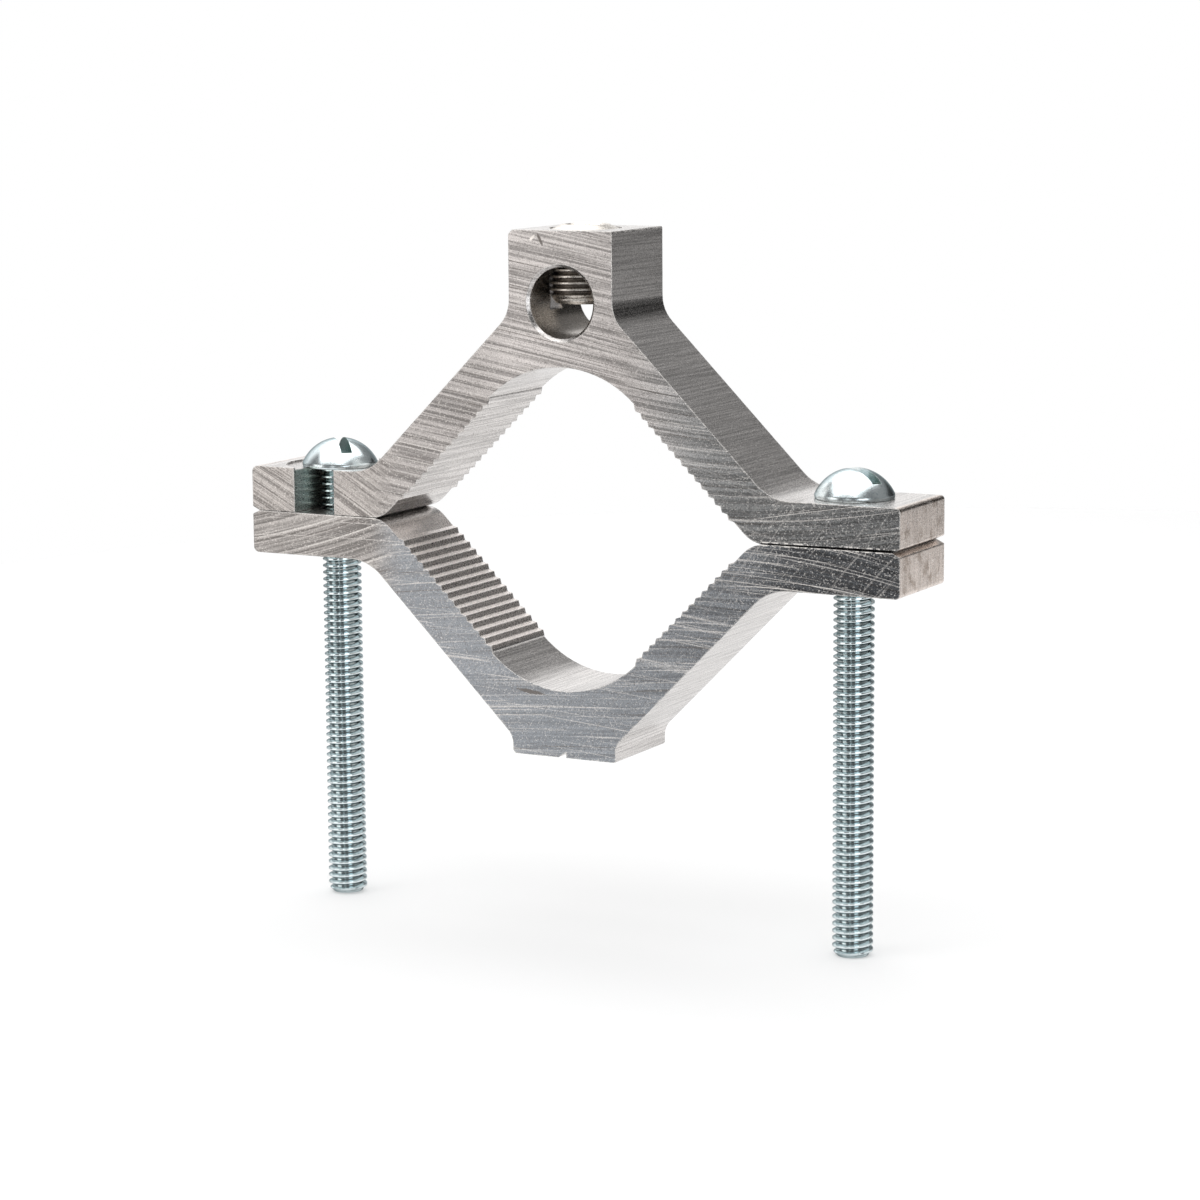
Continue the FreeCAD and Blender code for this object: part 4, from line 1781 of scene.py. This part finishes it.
@dataclass(frozen=True)
class Flag:
    """A dark card that stands out of sight and is only met in reflections."""

    name: str
    place: Triple
    width: float
    height: float
    grey: float = 0.02

    def build(self) -> bpy.types.Object:
        """Stand the card up, facing the object.

        Returns:
            The card, out of the camera's sight.
        """
        skin = bmesh.new()
        bmesh.ops.create_grid(skin, x_segments=1, y_segments=1, size=0.5)
        bmesh.ops.scale(skin, vec=(self.width, self.height, 1.0), verts=skin.verts[:])
        mesh = bpy.data.meshes.new(self.name)
        skin.to_mesh(mesh)
        skin.free()
        material, _, shader = start_material(self.name)
        shader.inputs["Base Color"].default_value = (self.grey, self.grey, self.grey, 1.0)
        shader.inputs["Roughness"].default_value = 1.0
        shader.inputs["Specular IOR Level"].default_value = 0.0
        mesh.materials.append(material)
        card = link_new(self.name, mesh)
        card.location = self.place
        card.rotation_euler = aim(self.place, (0.0, 0.0, 0.0))
        card.visible_camera = False
        card.visible_shadow = False
        card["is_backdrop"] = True
        return card


def aim(place: Triple, target: Triple) -> Euler:
    """Give the turn that points an object's -Z axis from a place to a target."""
    return (Vector(target) - Vector(place)).to_track_quat("-Z", "Y").to_euler()


@dataclass
class Studio:
    """Floor, world, lamps, flags and camera, with the camera where the photograph was taken."""

    floor_height: float
    floor_radius: float = 0.42
    floor_centre: float = 0.22
    floor_grey: float = 0.5
    floor_glow: float = 0.4
    floor_roughness: float = 0.9
    camera_place: Triple = (0.324760, -0.603429, 0.096018)
    camera_azimuth: float = 28.098
    camera_elevation: float = 9.220
    camera_roll: float = -0.404
    focal_pixels: float = 3512.2
    image_pixels: float = 1200.0
    sensor_width: float = 36.0
    sweep_top: float = -0.15
    sweep_lean: float = 2.4
    sweep_blur: float = 0.2
    sweep_glow: float = 0.95
    window_glow: float = 1.4
    window_foot: float = 0.3
    window_blur: float = 0.12
    ceiling_glow: float = 0.26
    horizon_glow: float = 0.33
    horizon_dip: float = 0.03
    horizon_blur: float = 0.02
    room_glow: float = 0.16
    room_blur: float = 0.25
    fill_glow: float = 0.5
    lamps: tuple[SoftBox, ...] = (
        SoftBox("overhead softbox", (-0.1, 0.0, 1.1), 2.0, 1.7, 20.0),
        SoftBox("front left softbox", (-0.82, -0.93, 0.08), 0.67, 0.9, 2.5, (1.0, 0.97, 0.95)),
        SoftBox("right softbox", (0.958, -0.803, 0.0), 0.6, 0.7, 2.9, (0.94, 0.97, 1.0)),
        SoftBox("strip light", (0.136, -1.29, 0.0), 0.12, 0.9, 0.55),
    )
    flags: tuple[Flag, ...] = (
        Flag("back right flag", (0.45, 0.89, 0.215), 0.66, 0.41),
    )

    def build(self) -> None:
        """Set the whole studio up round the object."""
        scene = bpy.context.scene
        scene.view_settings.view_transform = "Standard"
        self.build_world(scene)
        self.build_floor()
        for item in (*self.lamps, *self.flags):
            item.build()
        scene.camera = self.build_camera()

    def build_world(self, scene: bpy.types.Scene) -> None:
        """Give white to the camera, a sweep to reflections, and an even dim light to the rest.

        The sweep is the paper behind the object. A brighter window, a dim ceiling, the horizon and
        the dark room on the camera's side are laid over it in turn.

        Args:
            scene: The scene that gets the world.
        """
        world = bpy.data.worlds.new("studio")
        world.use_nodes = True
        scene.world = world
        graph = Graph(world.node_tree)
        graph.tree.nodes.clear()
        paths = graph.add("ShaderNodeLightPath").outputs
        direction = graph.split_xyz(graph.add("ShaderNodeTexCoord").outputs["Generated"])
        leaning = graph.math("MULTIPLY_ADD", direction["X"], self.sweep_lean, direction["Z"])
        glow = self.sweep_glow
        for place, middle, blur, beyond in (
            (direction["Z"], self.window_foot, self.window_blur, self.window_glow),
            (leaning, self.sweep_top, self.sweep_blur, self.ceiling_glow),
            (graph.times(direction["Z"], -1.0), self.horizon_dip, self.horizon_blur, self.horizon_glow),
            (graph.times(direction["Y"], -1.0), 0.0, self.room_blur, self.room_glow),
        ):
            glow = graph.blend_values(graph.span(place, middle - blur, middle + blur), glow, beyond)
        reflected = graph.most(paths["Is Glossy Ray"], paths["Is Transmission Ray"])
        strength = graph.blend_values(reflected, self.fill_glow, glow)
        strength = graph.blend_values(paths["Is Camera Ray"], strength, 1.0)
        background = graph.add("ShaderNodeBackground", Color=WHITE, Strength=strength)
        output = graph.add("ShaderNodeOutputWorld")
        graph.feed(output.inputs["Surface"], background.outputs[0])

    def build_floor(self) -> bpy.types.Object:
        """Lay a round white floor under the screws' tips.

        Returns:
            The floor object.
        """
        skin = bmesh.new()
        bmesh.ops.create_circle(skin, cap_ends=True, segments=96, radius=self.floor_radius)
        mesh = bpy.data.meshes.new("floor")
        skin.to_mesh(mesh)
        skin.free()
        material, graph, shader = start_material("Floor paper")
        shader.inputs["Base Color"].default_value = (self.floor_grey,) * 3 + (1.0,)
        shader.inputs["Roughness"].default_value = self.floor_roughness
        shader.inputs["Emission Color"].default_value = WHITE
        paths = graph.add("ShaderNodeLightPath").outputs
        seen = graph.most(paths["Is Camera Ray"], paths["Is Glossy Ray"], paths["Is Transmission Ray"])
        graph.feed(shader.inputs["Emission Strength"], graph.times(seen, self.floor_glow))
        mesh.materials.append(material)
        floor = link_new("floor", mesh)
        floor.location = (0.0, self.floor_centre, self.floor_height)
        floor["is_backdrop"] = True
        return floor

    def build_camera(self) -> bpy.types.Object:
        """Stand the camera where the photograph was taken.

        Returns:
            The camera object.
        """
        data = bpy.data.cameras.new("camera")
        data.sensor_width = self.sensor_width
        data.lens = self.focal_pixels / self.image_pixels * self.sensor_width
        data.clip_start = 0.01
        data.clip_end = 20.0
        camera = bpy.data.objects.new("camera", data)
        azimuth = math.radians(self.camera_azimuth)
        elevation = math.radians(self.camera_elevation)
        roll = math.radians(self.camera_roll)
        flat = math.cos(elevation)
        back = Vector((math.sin(azimuth) * flat, -math.cos(azimuth) * flat, math.sin(elevation)))
        right = (-back).cross(Vector((0, 0, 1))).normalized()
        up = right.cross(-back)
        rolled_right = right * math.cos(roll) + up * math.sin(roll)
        rolled_up = up * math.cos(roll) - right * math.sin(roll)
        turn = Matrix((rolled_right, rolled_up, back)).transposed().to_4x4()
        camera.matrix_world = Matrix.Translation(self.camera_place) @ turn
        bpy.context.scene.collection.objects.link(camera)
        return camera


def report(pieces: list[bpy.types.Object]) -> None:
    """Log each piece with its face count."""
    for piece in pieces:
        LOG.info("%s: %d faces", piece.name, len(piece.data.polygons))


def plain(box: Any) -> Any:
    """Turn a box of vectors into plain lists of numbers."""
    return [plain(item) for item in box] if hasattr(box, "__len__") else float(box)


def main(frame: dict[str, Any], cad_box: Any) -> None:
    """Dress the clamp and set up its studio.

    Args:
        cad_box: The CAD model's box, straight after loading.
    """
    logging.basicConfig(level=logging.INFO, format="%(name)s: %(message)s")
    effects = SharedEffects()
    threads = ThreadTree()
    pieces = Jaws(frame["nodes"], effects).build()
    for side, slot_turn, first_crest, slot_pale_reach in (
        (Side.LEFT, -44.5, -11.205 * MM, 0.0),
        (Side.RIGHT, -21.0, -11.483 * MM, 2.4 * MM),
    ):
        screw = ClampScrew(side, threads, effects, slot_turn, first_crest, slot_pale_reach)
        pieces.append(screw.build())
    pieces.append(SetScrew(threads, TurnedFinish().build(effects)).build())
    Studio(floor_height=min(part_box(f"{side.value}_clamp_screw")[0].z for side in Side)).build()
    report(pieces)
    {"cad": plain(cad_box), "visual": plain(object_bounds())}


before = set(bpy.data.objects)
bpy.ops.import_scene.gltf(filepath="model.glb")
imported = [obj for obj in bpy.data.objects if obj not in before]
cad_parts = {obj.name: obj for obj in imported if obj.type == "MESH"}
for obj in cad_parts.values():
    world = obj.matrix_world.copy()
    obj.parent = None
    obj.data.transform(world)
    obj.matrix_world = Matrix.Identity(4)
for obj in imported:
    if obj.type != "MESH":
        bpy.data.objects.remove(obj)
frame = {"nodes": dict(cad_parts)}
cad_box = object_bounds()

if __name__ == "__main__":
    main(frame, cad_box)
